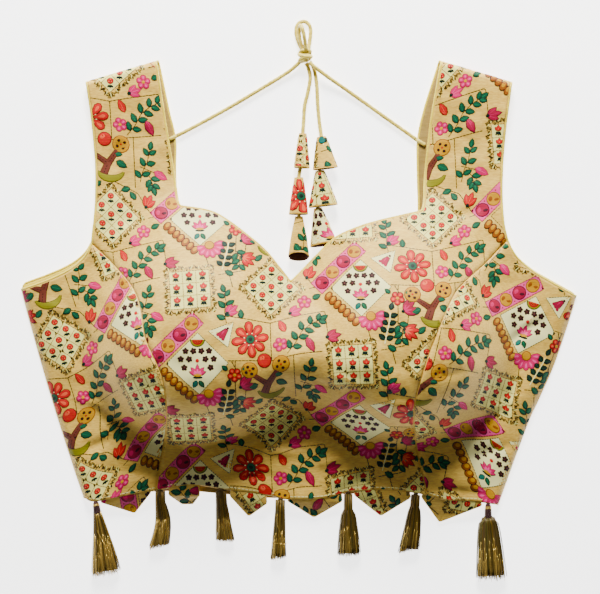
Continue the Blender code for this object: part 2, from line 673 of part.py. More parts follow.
def build_triangle(number, row, hem, material):
    left_root, left_x, left_y, tip_x, tip_y, right_x, right_y, right_root, tip_width = row
    wall = Wall(TRIANGLE_THICKNESS)
    rows = []
    for step in range(TRIANGLE_ROWS + 1):
        share = step / TRIANGLE_ROWS
        numbers = []
        for column in range(TRIANGLE_COLUMNS + 1):
            across = column / TRIANGLE_COLUMNS
            x = left_root + (right_root - left_root) * across
            root = Vector((x, height_at(hem, x) - TRIANGLE_GAP))
            notch = Vector((left_x, left_y)).lerp(Vector((right_x, right_y)), across)
            tip = Vector((tip_x + (across - 0.5) * tip_width, tip_y))
            if share < TRIANGLE_ROOT_SHARE:
                flat = root.lerp(notch, share / TRIANGLE_ROOT_SHARE)
            else:
                flat = notch.lerp(tip, (share - TRIANGLE_ROOT_SHARE) / (1 - TRIANGLE_ROOT_SHARE))
            root_height = hem_middle_height(x, root.y) + TRIANGLE_THICKNESS / 2
            rest = TRIANGLE_THICKNESS + TRIANGLE_FLOOR_GAP
            height = rest + (root_height - rest) * (1 - smooth_step(0.0, 1.0, share))
            height += TRIANGLE_CROWN * math.sin(math.pi * across) * (1 - share) * share
            numbers.append(wall.add((Vector((flat.x, flat.y, height)), Vector((0.0, 0.0, 1.0)))))
        rows.append(numbers)
    wall.add_rows(rows)
    orient_rows(wall)
    return wall.build(f"hem_triangle_{number}", material)


# -------------------------------------------------------------- tassels

def ellipse_ring(body, centre, across, up, half_width, half_depth, corners):
    ring = []
    for across_share, up_share in corners:
        point = centre + across * (half_width * across_share) + up * (half_depth * up_share)
        ring.append(body.verts.new(point * MM))
    return ring


def rim_shares(columns, rows):
    """Corners of a grid's rim pressed onto a circle, with the grid inside."""
    grid = []
    for row in range(rows + 1):
        for column in range(columns + 1):
            u = 2 * column / columns - 1
            v = 2 * row / rows - 1
            grid.append((u * math.sqrt(1 - v * v / 2), v * math.sqrt(1 - u * u / 2)))
    rim = [column for column in range(columns)]
    rim += [row * (columns + 1) + columns for row in range(rows)]
    rim += [rows * (columns + 1) + column for column in range(columns, 0, -1)]
    rim += [row * (columns + 1) for row in range(rows, 0, -1)]
    return grid, rim


def build_tassel(number, row, hem, material):
    """A bound neck and head whose lower face is drawn out into strands."""
    root_x, head_x, head_y, left_x, left_y, right_x, right_y, depth = row
    root_y = height_at(hem, root_x) - TASSEL_ROOT_GAP
    root = Vector((root_x, root_y, hem_middle_height(root_x, root_y)))
    head = Vector((head_x, head_y, TASSEL_HEAD_RADIUS + TASSEL_FLOOR_GAP))
    ends_middle = Vector(((left_x + right_x) / 2, (left_y + right_y) / 2, depth / 2 + STRAND_FLOOR_GAP))
    along = (ends_middle - head).normalized()
    up = Vector((0.0, 0.0, 1.0))
    across = along.cross(up).normalized()
    up = across.cross(along).normalized()
    columns, rows = TASSEL_GRID
    grid, rim = rim_shares(columns, rows)
    rim_corners = [grid[index] for index in rim]
    body = bmesh.new()
    rings = []
    for share, swell in TASSEL_NECK_PROFILE:
        radius = TASSEL_NECK_RADIUS * swell
        rings.append(ellipse_ring(body, root.lerp(head, share), across, up, radius, radius, rim_corners))
    centre = head + along * TASSEL_HEAD_DROP
    rings.append(ellipse_ring(body, centre, across, up, TASSEL_HEAD_RADIUS, TASSEL_HEAD_RADIUS, rim_corners))
    body.faces.new(list(reversed(rings[0])))
    for upper, lower in zip(rings, rings[1:]):
        for index in range(len(upper)):
            after = (index + 1) % len(upper)
            body.faces.new((upper[index], upper[after], lower[after], lower[index]))
    inner = dict(zip(rim, rings[-1]))
    for index, (u, v) in enumerate(grid):
        if index not in inner:
            point = centre + across * (TASSEL_HEAD_RADIUS * u) + up * (TASSEL_HEAD_RADIUS * v)
            inner[index] = body.verts.new(point * MM)
    root_faces = []
    for row_number in range(rows):
        for column in range(columns):
            corner = row_number * (columns + 1) + column
            quad = (corner, corner + 1, corner + columns + 2, corner + columns + 1)
            if (column + row_number) % 2:
                halves = ((quad[0], quad[1], quad[2]), (quad[0], quad[2], quad[3]))
            else:
                halves = ((quad[0], quad[1], quad[3]), (quad[1], quad[2], quad[3]))
            for half in halves:
                root_faces.append(body.faces.new([inner[index] for index in half]))
    spread = Vector((right_x - left_x, right_y - left_y, 0.0)) / 2
    draw_strands(body, root_faces, centre, across, up, ends_middle, spread, depth)
    bmesh.ops.recalc_face_normals(body, faces=body.faces)
    mesh = bpy.data.meshes.new(f"hem_tassel_{number}")
    body.to_mesh(mesh)
    body.free()
    mesh.shade_smooth()
    mesh.set_sharp_from_angle(angle=math.radians(40))
    return add_object(f"hem_tassel_{number}", mesh, material)


def draw_strands(body, root_faces, head, across, up, ends_middle, spread, depth):
    """Grow a three-sided strand from each small face of the head to the tassel's end."""
    end_half_depth = depth / 2 - TASSEL_FLOOR_GAP
    side = STRAND_SPREAD if spread.dot(across) > 0 else -STRAND_SPREAD
    along = (ends_middle - head).normalized()
    for index, face in enumerate(root_faces):
        start = face.calc_center_median() / MM
        ring = list(face.verts)
        section = [corner.co / MM - start for corner in ring]
        u = (start - head).dot(across) / TASSEL_HEAD_RADIUS
        v = (start - head).dot(up) / TASSEL_HEAD_RADIUS
        flare = spread * (u * side) + Vector((0.0, 0.0, 1.0)) * (v * end_half_depth)
        target = ends_middle + along * (STRAND_UNEVENNESS * math.sin(index * STRAND_TURN))
        body.faces.remove(face)
        for share, scale in STRAND_PROFILE:
            middle = start.lerp(target, share) + flare * math.sin(math.pi / 2 * share)
            following = [body.verts.new((middle + corner * scale) * MM) for corner in section]
            for number in range(len(ring)):
                after = (number + 1) % len(ring)
                body.faces.new((ring[number], ring[after], following[after], following[number]))
            ring = following
        body.faces.new(ring)


# ---------------------------------------------------- tie and cone tassels

def build_cord(name, route, material):
    path = smooth_path(route, CORD_STEPS)
    length = sum((end - start).length for start, end in zip(path, path[1:]))
    count = max(8, round(length / CORD_POINT_SPACING))
    return tube(name, smooth_path(route, count), CORD_RADIUS, material, 2)


def build_knot(material):
    """The bow's knot: a squat ball with a waist where the tie is wrapped."""
    body = bmesh.new()
    bmesh.ops.create_uvsphere(body, u_segments=12, v_segments=8, radius=1.0)
    for corner in body.verts:
        waist = 1.0 - KNOT_WAIST_DEPTH * math.exp(-(corner.co.y / KNOT_WAIST_WIDTH) ** 2)
        corner.co.x *= KNOT_RADII[0] * MM * waist
        corner.co.y *= KNOT_RADII[1] * MM
        corner.co.z *= KNOT_RADII[2] * MM * waist
    mesh = bpy.data.meshes.new("dori_knot")
    body.to_mesh(mesh)
    body.free()
    mesh.shade_smooth()
    piece = add_object("dori_knot", mesh, material)
    piece.location = Vector(KNOT_CENTRE) * MM
    return piece


def build_latkan(row, material):
    """An open cone of folded cloth that hangs on the tie."""
    name, top_x, top_y, top_z, end_x, end_y, end_z, top_width, end_width, end_depth, slant = row
    top = Vector((top_x, top_y, top_z))
    end = Vector((end_x, end_y, end_z))
    along = (end - top).normalized()
    across = along.cross(Vector((0.0, 0.0, 1.0))).normalized()
    up = across.cross(along).normalized()
    length = (end - top).length
    body = bmesh.new()
    corners = []
    for index in range(LATKAN_SIDES):
        angle = 2 * math.pi * index / LATKAN_SIDES
        corners.append((math.cos(angle), math.sin(angle)))
    hole = LATKAN_HOLE_RADIUS
    top_depth = max(hole + LATKAN_TOP_RIM, top_width / 2 - LATKAN_TOP_FLATTENING)
    middle_width = LATKAN_MIDDLE_WIDTH[0] * top_width + LATKAN_MIDDLE_WIDTH[1] * end_width
    middle_depth = LATKAN_MIDDLE_DEPTH[0] * top_width + LATKAN_MIDDLE_DEPTH[1] * end_depth
    drop, hollow_width, hollow_depth = LATKAN_HOLLOW_TOP
    profile = (
        (0.0, top_width / 2, top_depth),
        (0.5, middle_width, middle_depth),
        (1.0, end_width / 2, end_depth / 2),
        (1.0, end_width / 2 - LATKAN_WALL, end_depth / 2 - LATKAN_WALL),
        (drop / length + LATKAN_HOLLOW_START_SHARE, hollow_width * end_width, hollow_depth * end_depth),
        (0.0, hole, hole),
    )
    rings = []
    for share, half_width, half_depth in profile:
        ring = ellipse_ring(body, top.lerp(end, share), across, up, half_width, half_depth, corners)
        if share == 1.0:
            for corner, (_, height) in zip(ring, corners):
                corner.co += along * (slant * 0.5 * (1 - height) * MM)
        rings.append(ring)
    for upper, lower in zip(rings, rings[1:] + rings[:1]):
        for index in range(LATKAN_SIDES):
            after = (index + 1) % LATKAN_SIDES
            body.faces.new((upper[index], upper[after], lower[after], lower[index]))
    bmesh.ops.recalc_face_normals(body, faces=body.faces)
    mesh = bpy.data.meshes.new(name)
    body.to_mesh(mesh)
    body.free()
    mesh.shade_smooth()
    mesh.set_sharp_from_angle(angle=math.radians(50))
    return add_object(name, mesh, material)


def build_hook(number, y, material):
    """A flat hook that lies across the centre back seam, on the inner face."""
    body = bmesh.new()
    bmesh.ops.create_cube(body, size=1.0)
    for corner in body.verts:
        corner.co.x *= HOOK_SIZE[0] * MM
        corner.co.y *= HOOK_SIZE[1] * MM
        corner.co.z *= HOOK_SIZE[2] * MM
    mesh = bpy.data.meshes.new(f"back_hook_{number}")
    body.to_mesh(mesh)
    body.free()
    piece = add_object(f"back_hook_{number}", mesh, material)
    piece.location = (0.0, y * MM, (BACK_THICKNESS + SEAM_GAP + HOOK_SIZE[2] / 2) * MM)
    return piece


def main():
    clear_scene()
    silk = make_material("printed_silk", PRINTED_SILK)
    satin = make_material("satin", SATIN)
    thread = make_material("gold_thread", GOLD_THREAD, 0.35)
    metal = make_material("hook_metal", HOOK_METAL, 1.0)

    centre = build_front_centre(silk)
    left = build_front_side("front_side_left", -1, silk)
    right = build_front_side("front_side_right", 1, silk)
    back_left = build_back("left", -1, silk)
    back_right = build_back("right", 1, silk)

    build_piping("neck_piping_front", centre["neck"], -1, satin)
    build_piping("armhole_piping_front_left", [centre["left_arm"], left["arm"]], 1, satin)
    build_piping("armhole_piping_front_right", [centre["right_arm"], right["arm"]], -1, satin)
    build_piping("neck_piping_back_left", back_left["neck"], 1, satin)
    build_piping("neck_piping_back_right", back_right["neck"], -1, satin)
    build_piping("armhole_piping_back_left", back_left["arm"], -1, satin)
    build_piping("armhole_piping_back_right", back_right["arm"], 1, satin)

    hem = hem_edge_line([left["hem"], centre["hem"], right["hem"]])
    for number, row in enumerate(HEM_TRIANGLES, 1):
        build_triangle(number, row, hem, silk)
    for number, row in enumerate(HEM_TASSELS, 1):
        build_tassel(number, row, hem, thread)

    build_cord("dori_run_left", DORI_RUN_LEFT, satin)
    build_cord("dori_run_right", DORI_RUN_RIGHT, satin)
    build_cord("dori_loop_outer", DORI_LOOP_OUTER, satin)
    build_cord("dori_loop_inner", DORI_LOOP_INNER, satin)
    build_cord("dori_tail_left", DORI_TAIL_LEFT, satin)
    build_cord("dori_tail_right", DORI_TAIL_RIGHT, satin)
    build_knot(satin)
    for row in LATKANS:
        build_latkan(row, silk)
    for number, y in enumerate(HOOK_ROWS, 1):
        build_hook(number, y, metal)


main()
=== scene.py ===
"""Dressed model of a choli blouse that lies flat with its front up.

The walls, pipings, tie, cone tassels, hem points and thread tassels follow the
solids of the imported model, with finer creases, sewing and a flower print.
Tables are in millimetres and meshes are made in metres. In tables by side, -1
is the left and 1 the right of the photo.
"""
from math import atan2, ceil, cos, degrees, hypot, pi, radians, sin, sqrt

import bmesh
import bpy
import numpy as np
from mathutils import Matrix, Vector
from mathutils.bvhtree import BVHTree


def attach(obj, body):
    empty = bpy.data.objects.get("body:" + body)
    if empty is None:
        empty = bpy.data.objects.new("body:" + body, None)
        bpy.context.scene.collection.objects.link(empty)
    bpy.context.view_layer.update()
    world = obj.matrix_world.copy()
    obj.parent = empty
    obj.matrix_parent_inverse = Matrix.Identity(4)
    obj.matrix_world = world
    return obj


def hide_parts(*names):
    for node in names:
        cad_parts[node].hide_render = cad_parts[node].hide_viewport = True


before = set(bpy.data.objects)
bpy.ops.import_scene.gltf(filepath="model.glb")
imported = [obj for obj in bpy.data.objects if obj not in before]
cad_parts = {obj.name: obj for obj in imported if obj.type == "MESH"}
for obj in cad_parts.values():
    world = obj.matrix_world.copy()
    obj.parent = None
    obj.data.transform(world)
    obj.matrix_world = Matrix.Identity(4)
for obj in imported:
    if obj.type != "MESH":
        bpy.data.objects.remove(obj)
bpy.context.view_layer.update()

MM = 0.001
SIDES = {-1: "left", 1: "right"}

# Walls, gaps and tubes
FRONT_THICKNESS = 2.4
BACK_THICKNESS = 1.8
SEAM_GAP = 0.3
CORD_RADIUS = 1.65
PIPING_RADIUS = 1.1

# Shoulders
SHOULDER_OUTER_X = 177.6
SHOULDER_OUTER_Y = 198.8
SHOULDER_SLOPE = 0.298
SHOULDER_RUN = hypot(1.0, SHOULDER_SLOPE)
SHOULDER_FOLD_RADIUS = 4.6
SHOULDER_FOLD_ANGLE = radians(89.6)

# Height of the front's outer face above the surface
REST_HEIGHT = 4.9
BODY_LOFT = 4.4
SIDE_ROLL_WIDTH = 13
BODY_LOFT_START_Y = 125
BODY_LOFT_FULL_Y = 65
STRAP_LIFT_LENGTH = 62
SIDE_DROP = 3.6
SIDE_DROP_WIDTH = 2.2

# Padded cups: height over the body, centre, and reach in each direction
CUP_HEIGHT = 54
CUP_CENTRE_X = 88
CUP_CENTRE_Y = -22
CUP_REACH_OUT = 104
CUP_REACH_IN = 119
CUP_REACH_UP = 152
CUP_REACH_DOWN = 92
CUP_CURVE_UP = 1.15
CUP_CURVE_DOWN = 1.95
BRIDGE_HEIGHT = 8
BRIDGE_CENTRE_Y = -34
BRIDGE_REACH_X = 80
BRIDGE_REACH_Y = 62

# Folds of the front: start x, start y, end x, end y, half width, height (troughs are negative)
FRONT_FOLDS = (
    (-152, -107, -112, -116, 9, 3), (-88, -122, -28, -118, 8, 3.2), (-78, -104, 10, -99, 7, -2.4),
    (34, -146, 74, -118, 6.5, -3.4), (92, -124, 150, -134, 9, 2.6), (58, -56, 92, -62, 5, -1.6),
    (-172, 48, -142, 22, 9, -2.4), (182, 34, 150, 20, 9, -2.4), (176, -84, 204, -46, 8, 2.6),
    (-204, -20, -176, -66, 9, 1.8),
)
# Smaller creases of the front, in the same columns
FRONT_CREASES = (
    (18, -50, 38, -57, 2.6, -1.3), (26, -44, 52, -52, 3.2, 1.2), (60, -66, 96, -70, 3.2, 1.3),
    (-36, -82, -4, -76, 3.4, -1.7), (6, -80, 46, -88, 3.6, -2), (60, -96, 118, -90, 4, -2.3),
    (120, -74, 172, -58, 4.2, -1.9), (126, -86, 186, -66, 3.8, 1.9), (-168, -82, -118, -92, 4, -2.2),
    (-190, -64, -134, -80, 3.6, 1.7), (-104, -96, -60, -90, 3.6, 1.7), (-40, -108, 0, -112, 3.4, 1.6),
    (14, -122, 52, -110, 3.6, 2), (74, -108, 100, -112, 3, -1.7), (-62, -134, -22, -130, 3.6, -1.6),
    (-146, -128, -96, -130, 3.8, -1.9), (116, -142, 158, -146, 3.4, -1.4), (148, -114, 184, -104, 4.4, -2.2),
    (-186, -112, -156, -98, 4, -1.9), (-198, 6, -168, -26, 4.4, -1.6), (204, 2, 172, -24, 4.4, -1.7),
    (-214, 16, -188, 2, 4, 1.3), (212, 10, 186, -6, 4, 1.4), (-158, 88, -124, 80, 4.6, -1.2),
    (156, 96, 122, 84, 4.4, -1.3), (-160, 128, -140, 160, 5, -0.9), (164, 140, 134, 158, 5, -0.9),
    (-30, 18, -6, -8, 4.6, -1.3), (30, 14, 8, -14, 4.4, -1.2), (-52, -58, -18, -66, 3.4, 1.2),
    (-134, -48, -96, -60, 3.6, -1.2), (106, -46, 140, -40, 3.4, -1.2),
)
# Creases of the back, where its outer face lifts off the surface
BACK_CREASES = (
    (-170, -60, -90, -84, 7, 0.9), (-120, -108, -40, -98, 6, 0.8), (-60, -128, -12, -110, 5, 1.1),
    (24, -104, 90, -122, 6, 1), (70, -80, 160, -62, 8, 0.7), (110, -132, 160, -110, 5, 1),
    (-150, 20, -110, 0, 7, 0.8), (150, 16, 112, -8, 7, 0.9), (-160, 100, -130, 70, 6, 0.7),
    (158, 112, 124, 90, 6, 0.8), (-20, -74, -8, -100, 3, 0.6), (22, -70, 10, -92, 3, 0.7),
)
# Soft unevenness of all the cloth: wave x, wave y, phase, height
CLOTH_WAVES = (
    (0.17, 0.09, 0.4, 0.28), (-0.11, 0.21, 1.9, 0.26), (0.31, -0.14, 3.1, 0.13), (0.07, 0.37, 5.2, 0.14),
    (0.42, 0.33, 0.9, 0.07),
)
SEAM_GROOVE_DEPTH = 1.3
SEAM_GROOVE_WIDTH = 1.7
SEAM_PUCKER_DEPTH = 0.35
SEAM_PUCKER_WIDTH = 8
SEAM_PUCKER_WAVE = 1.15

# Outline points: x, y
STRAP_OUTER = {
    -1: ((-173.8, 64.6), (-171.2, 92), (-170.4, 126.7), (-173, 163), (-177.6, 198.8)),
    1: ((176, 67.5), (172.1, 86), (171.3, 118.2), (173.6, 157), (178.5, 198.6)),
}
STRAP_INNER = {
    -1: ((-100.7, 96.9), (-103.3, 104), (-107.5, 130), (-114.4, 173), (-120.7, 215.8)),
    1: ((105, 92.7), (107.3, 102), (108.4, 126.7), (114, 174), (121.1, 215.6)),
}
NECKLINE = {
    -1: ((-100.7, 96.9), (-75.2, 92.7), (-61.6, 85.9), (-42.1, 71.4), (-25.9, 57), (-13.2, 41), (-6.4, 32.3)),
    1: ((-6.4, 32.3), (1.3, 40), (17.4, 57), (33.6, 71.4), (58.2, 81.4), (82.9, 87.7), (105, 92.7)),
}
ARMHOLE = {
    -1: ((-173.8, 64.6), (-180.5, 53), (-193, 42.5), (-212, 33.5), (-235, 25.5)),
    1: ((176, 67.5), (183, 54.5), (197, 41.7), (212.9, 32.3), (235.4, 19.8)),
}
PRINCESS = {
    -1: ((-173.8, 64.6), (-157.2, 49.3), (-138.2, 28.9), (-130.4, 12), (-125, -14), (-112, -44), (-108.6, -76),
         (-115.4, -112), (-120.3, -143.2)),
    1: ((176, 67.5), (156.8, 48.4), (139.4, 34), (127.1, 20), (113, -10), (102, -40), (95, -72), (100, -108),
         (109, -147)),
}
SIDE_SEAM = {
    -1: ((-235, 25.5), (-210.5, -61), (-182.3, -149.6)),
    1: ((235.4, 19.8), (217.2, -34.9), (196.4, -83.6), (169.6, -155.6)),
}
BACK_STRAP_INNER = {
    -1: ((-98, 40), (-103.5, 84), (-105.6, 126), (-105.6, 154), (-111, 178), (-119, 216.3)),
    1: ((98, 40), (102.8, 84), (102.2, 126), (102.4, 154), (108, 180), (119.4, 216.1)),
}
BACK_NECK = {
    -1: ((-98, 40), (-86, 2), (-62, -30), (-32, -46), (0, -50)),
    1: ((98, 40), (86, 2), (62, -30), (32, -46), (0, -50)),
}
FRONT_HEM = (
    (-182.3, -149.6), (-172.1, -152.4), (-141.5, -146.4), (-118.6, -142.6), (-91.4, -138.2), (-61.6, -142),
    (-22.5, -147.4), (-9.8, -150.3), (22.5, -149.6), (44, -143.7), (76.1, -142.6), (102.4, -145.6), (124.5, -150.8),
    (150.9, -152.4), (169.6, -155.6),
)
BACK_HEM = (
    (-182.3, -149.6), (-141.5, -147), (-91.4, -145.6), (-22.5, -151.4), (40.4, -148), (102.4, -147), (169.6, -155.6),
)
BACK_ARMHOLE_SHIFT = {-1: 4.4, 1: 1.2}
STRAP_SHIFT_SHARE = 0.8
BACK_RAISE = 0.5
BACK_INSET = 1.6
# Width of the satin facing inside the back's armholes
FACING_WIDTH = 9
RIM_BULGE = 0.5
PIPING_STEP = 0.9
PIPING_TUCK = 0.72

# Mesh divisions
CURVE_STEPS = 24
SLOPE_STEP = 0.4
HEM_STEPS = 240
BODY_ROWS = 112
STRAP_COLUMNS = 34
NECK_COLUMNS = 48
SIDE_COLUMNS = 44
STRAP_ROWS = 62
FOLD_ROWS = 6
BACK_ARM_COLUMNS = 36
BACK_NECK_COLUMNS = 56
BACK_ROWS = 90

# Hem triangles: left root x, left notch x, y, tip x, y, right notch x, y, right root x, tip width
HEM_TRIANGLES = (
    (-166, -167, -153.6, -139.8, -162.4, -125.4, -145.6, -124, 2),
    (-109, -109.7, -147, -94.4, -155.2, -83.7, -147.2, -84.5, 9),
    (-57, -58, -148, -42.1, -164.8, -26.8, -154.3, -27.5, 2), (-8, -9, -152.4, 13.2, -166, 37, -152.6, 36, 2),
    (48.5, 47.2, -147.4, 70.1, -164.6, 94.8, -149.6, 93.5, 2),
    (105.5, 104.1, -149, 120.3, -170, 155.1, -156.4, 154, 2),
)
TRIANGLE_THICKNESS = 1.6
TRIANGLE_FLOOR_GAP = 0.6
TRIANGLE_ROOT_SHARE = 0.25
TRIANGLE_ROOT_TUCK = 1.4
TRIANGLE_CROWN = 1.2
TRIANGLE_CREASE = 0.35
TRIANGLE_ROWS = 14
TRIANGLE_COLUMNS = 20

# Thread tassels: root x, head x, y, left end x, y, right end x, y, depth at the ends
HEM_TASSELS = (
    (-171.8, -170.4, -162.9, -173.8, -217.4, -151.4, -213.2, 8),
    (-117, -117.2, -153, -126.4, -193.6, -110.4, -190.2, 7), (-65.6, -65.1, -155, -68.8, -187, -55, -187, 7),
    (-15.2, -15.4, -161.4, -22.8, -203, -11.2, -201, 7), (42.2, 42.3, -159.4, 34, -199.6, 52, -199, 8),
    (99.4, 98.6, -156.9, 85, -197.4, 101.6, -193.2, 7), (160.4, 161.1, -171.2, 152, -219.6, 175.2, -219, 9),
)
TASSEL_HEAD_RADIUS = 3.4
TASSEL_FLOOR_GAP = 0.6
TASSEL_ROOT_GAP = 0.5
TASSEL_STRANDS = 170
TASSEL_FLARE = 1.14
STRAND_POINTS = 9
STRAND_RADIUS = 0.32
STRAND_TAPER = 0.66
STRAND_LOWEST = 0.34
BRIGHT_RADIUS = 0.2
# Rings and sides of each tassel's dark core, which fills the fan; its dark thread is painted shade between the strands
SHADE_CORE_RINGS = 12
SHADE_CORE_SIDES = 14
# Materials of a tassel's threads, by number
THREADS = ("antique", "brown", "bright", "olive", "grey", "maroon")
# BRIGHT threads make the light rings and strays and also the painted glint strands; DARK threads also make the core's
# painted shade
DARK, BRIGHT, GREY, MAROON = 1, 2, 4, 5
# How each tassel looks: sideways bend, neck radius, how fast it fans out (low
# is bell-shaped), a bound neck, where a thread is wound round it, the threads
# it draws from and how many bright strands lie on its upper side as painted glints
TASSEL_LOOKS = (
    (-0.6, 3.1, 1, True, 0, (0, 0, 1, 1, 0, 2, 3), 44), (-2.6, 4.4, 0.85, False, 0, (0, 0, 1, 0, 1, 3), 46),
    (0, 4.8, 0.9, False, 0, (0, 1, 0, 1, 0, 3), 36), (0, 4.2, 0.9, False, 0.66, (0, 1, 0, 1, 3, 0), 20),
    (0, 3.8, 0.45, False, 0, (1, 0, 1, 3, 0, 3), 14), (-0.4, 4, 0.6, False, 0, (0, 0, 1, 0, 3, 1), 18),
    (0, 3.1, 0.3, True, 0, (3, 0, 3, 0, 3, 1), 36),
)
# Bound necks that are shorter than the solid's, in mm
NECK_RAISES = {1: 2, 7: 6}
# Stray light threads: share of the length, sideways and outwards, in mm
STRAY_THREADS = {
    1: (((0.3, 1.6, 0.4), (0.44, -1, 0.6), (0.56, -3.6, 0.5), (0.62, -4.4, -1.5)),),
    4: (((0.06, 2.6, 0.3), (0.26, 2.2, 0.5), (0.42, -0.4, 0.6), (0.56, -2.8, 0.4), (0.68, -3.6, -0.6)),),
}

# Tie routes: x, y, z of the middle of the satin tube
DORI_ROUTES = {
    "dori_run_left": ((-102.8, 157.6, 1.8), (-97, 160.4, 1.8), (-80, 169.4, 1.75), (-58, 181.6, 1.75),
        (-36, 194.6, 1.8), (-16, 206.6, 2.2), (-6, 213.2, 3.2), (1.5, 219.9, 4.6)),
    "dori_run_right": ((99.2, 154.6, 1.8), (93.4, 158.8, 1.8), (73.5, 172.9, 1.75), (56, 185.4, 1.8),
        (42, 195.2, 2.6), (29, 204, 4.6), (18.6, 211.4, 6.3), (9, 219, 6.4)),
    "dori_loop_outer": ((8.4, 229.6, 3.1), (9.6, 238.3, 1.8), (10.4, 245.7, 1.75), (9.4, 250.8, 1.75),
        (6.2, 253.9, 1.75), (2.2, 253.9, 1.75), (-1.2, 250.6, 1.75), (-2, 244.8, 1.75), (-0.2, 237.2, 1.8),
        (3, 229.8, 3)),
    "dori_loop_inner": ((3.7, 230.3, 6.2), (1.6, 236.6, 6), (0.6, 243, 6), (0.8, 247.8, 7.4), (1.8, 249.6, 10.6),
        (3, 247.4, 13.6), (4.4, 242, 13.9), (5.4, 236.4, 12), (6.4, 229.6, 9.4)),
    "dori_tail_left": ((6.5, 218.9, 2.1), (8.6, 214, 1.75), (9.9, 205.8, 1.75), (7.8, 193.5, 1.75),
        (5.2, 182.4, 1.8), (4.4, 170, 2.4), (3.6, 159, 3.4), (3, 146, 4.4), (1.8, 132, 4.4), (0.3, 121.6, 4.1),
        (0.2, 106, 4.5), (0.3, 95, 4.4), (0.4, 84.5, 4.5)),
    "dori_tail_right": ((9.6, 220.2, 2.3), (12.6, 215.6, 1.75), (14.4, 209, 1.75), (15.6, 199, 1.75),
        (16.4, 183.1, 1.75), (17.8, 168, 2.4), (19.4, 156, 3.9), (20, 142, 4.5), (18.2, 127.4, 4.7), (18, 112, 4.8),
        (16.4, 95.8, 4.7), (16.5, 87, 4.9)),
}
CORD_STEP = 1.1
# The sewn ends of the tie, which cross the strap's edge onto its lining
DORI_ANCHORS = {
    "left": ((-101.4, 158.2, 1.8), (-104.2, 156.7, 2.6), (-106.4, 155.6, 3.4), (-109.4, 154, 3.5)),
    "right": ((97.8, 155.6, 1.8), (100.6, 153.6, 2.6), (103, 152, 3.4), (107.4, 149.2, 3.5)),
}
KNOT_CENTRE = (5.6, 224.4, 5.4)
KNOT_RADIUS = 4.1
KNOT_HALF_LENGTH = 5.7
# Wraps of the knot: radius across, radius up, shift along y, turn, tilt, tube radius
KNOT_WRAPS = ((4.6, 3.5, -2.3, 0.35, 0.12, 1.75), (4.9, 3.8, 0.6, -0.2, -0.2, 1.8), (4.2, 3.3, 3.1, 0.1, 0.25, 1.6))

# Cone tassels: name, top x, y, z, end x, y, z, top width, end width, end depth, mouth slant
LATKANS = (
    ("latkan_left_1", 3.6, 159, 3.4, 2.4, 130, 4.9, 6.6, 13.6, 9, 0),
    ("latkan_left_2", 0.3, 121.6, 4.1, 0.3, 90.4, 5.2, 7.6, 16.2, 9.6, 0),
    ("latkan_left_3", 0.3, 88.6, 4.4, 0.2, 58.4, 5.4, 6.6, 18.2, 9.8, 7),
    ("latkan_right_1", 19.4, 156, 3.9, 22.6, 129.2, 5.8, 8, 21, 10, 0),
    ("latkan_right_2", 18.2, 127.4, 4.7, 21.6, 97.6, 5.6, 7.6, 25, 10.4, 0),
    ("latkan_right_3", 16.4, 95.8, 4.7, 21.8, 66, 5.6, 6.6, 23, 10.4, 2),
)
LATKAN_SIDES = 48
LATKAN_RINGS = 22
LATKAN_WALL = 1
LATKAN_HOLE_RADIUS = CORD_RADIUS + 0.1
# Where the print's middle lies on each cone: x, y
CONE_PRINT_SHIFTS = ((31, -46), (52, -2), (5, 22), (-60, 9), (-35, 20), (-38, -48))
# The print on each of the hem's points: its turn, and the place in the repeat
HEM_POINT_PRINTS = ((0.9, 24, 50), (1.2, -9, -12), (0.5, 19, -40), (2, -1, -16), (0.3, 53, -35), (0.6, -57, 31))
# Hooks across the centre back: y of each
HOOK_ROWS = (-62, -86, -110, -134)

# Print plaques: cells of large shapes, edges and rings of small ones, and heights over the cloth
GRID_CELL = 2.4
GRID_FROM = 6
LONGEST_EDGE = 3.2
RING_REACH = 2.6
DOME_RING = 0.62
FOOT_REACH = 4.2
FOOT_DEPTH = 0.55
PULL_STEPS = 28
PRINT_BASE = 0.06
LAYER_STEP = 0.07
PATCH_RISE = 0.04
MOTIF_RISE = 0.06
RIM_LEAN = 0.14
STRETCH_ACROSS = 0.35
STRETCH_ALONG = 0.9
CLOTH_MAP_TURNS = 16
CLOTH_MAP_SHARE = 0.7
OUTLINE_STEP = 1.6
REPEAT_REACH = 0.62
KEPT_SHARE = 0.2
PRINT_MARGIN = 0.45
PRINT_SLOPE_STEP = 0.8
CAST_RISE = 6
CAST_BELOW_FOLD = 0.3

# Stitches along the front's hem
STITCH_STEPS = 80
STITCH_INSET = 2.2
STITCH_LENGTH = 2.3
STITCH_GAP = 0.9
STITCH_WIDTH = 0.7

# Camera, and lights: name, place, target, size, power, colour
CAMERA_TARGET = (1.3, 20.4)
CAMERA_HEIGHT = 1500
CAMERA_LENS = 105.9
LIGHTS = (
    ("key", (0, 1.37, 0.72), (0, -0.05, 0), 0.5, 80, (1, 0.985, 0.95)),
    ("fill", (0.1, -0.5, 1.7), (0, 0, 0), 1.4, 1, (1, 1, 1)),
    ("left", (-1.3, -0.2, 1), (0, 0, 0), 0.9, 1.5, (1, 1, 1)),
)
WORLD_STRENGTH = 0.09
FLOOR_GLOW = 3.2
FLOOR_SIZE = 6
FLOOR_DROP = 0.0004


# ---------------------------------------------------------------- materials

def srgb(code):
    """Linear colour of an RRGGBB code."""
    values = [int(code[place:place + 2], 16) / 255 for place in (0, 2, 4)]
    return tuple(v / 12.92 if v <= 0.04045 else ((v + 0.055) / 1.055) ** 2.4 for v in values)


def add_node(material, kind, **values):
    node = material.node_tree.nodes.new(kind)
    for name, value in values.items():
        if name in node.inputs:
            node.inputs[name].default_value = value
        else:
            setattr(node, name, value)
    return node


def wire(material, *links):
    """Links between nodes: from node, output, to node, input."""
    for source, output, target, socket in links:
        material.node_tree.links.new(source.outputs[output], target.inputs[socket])


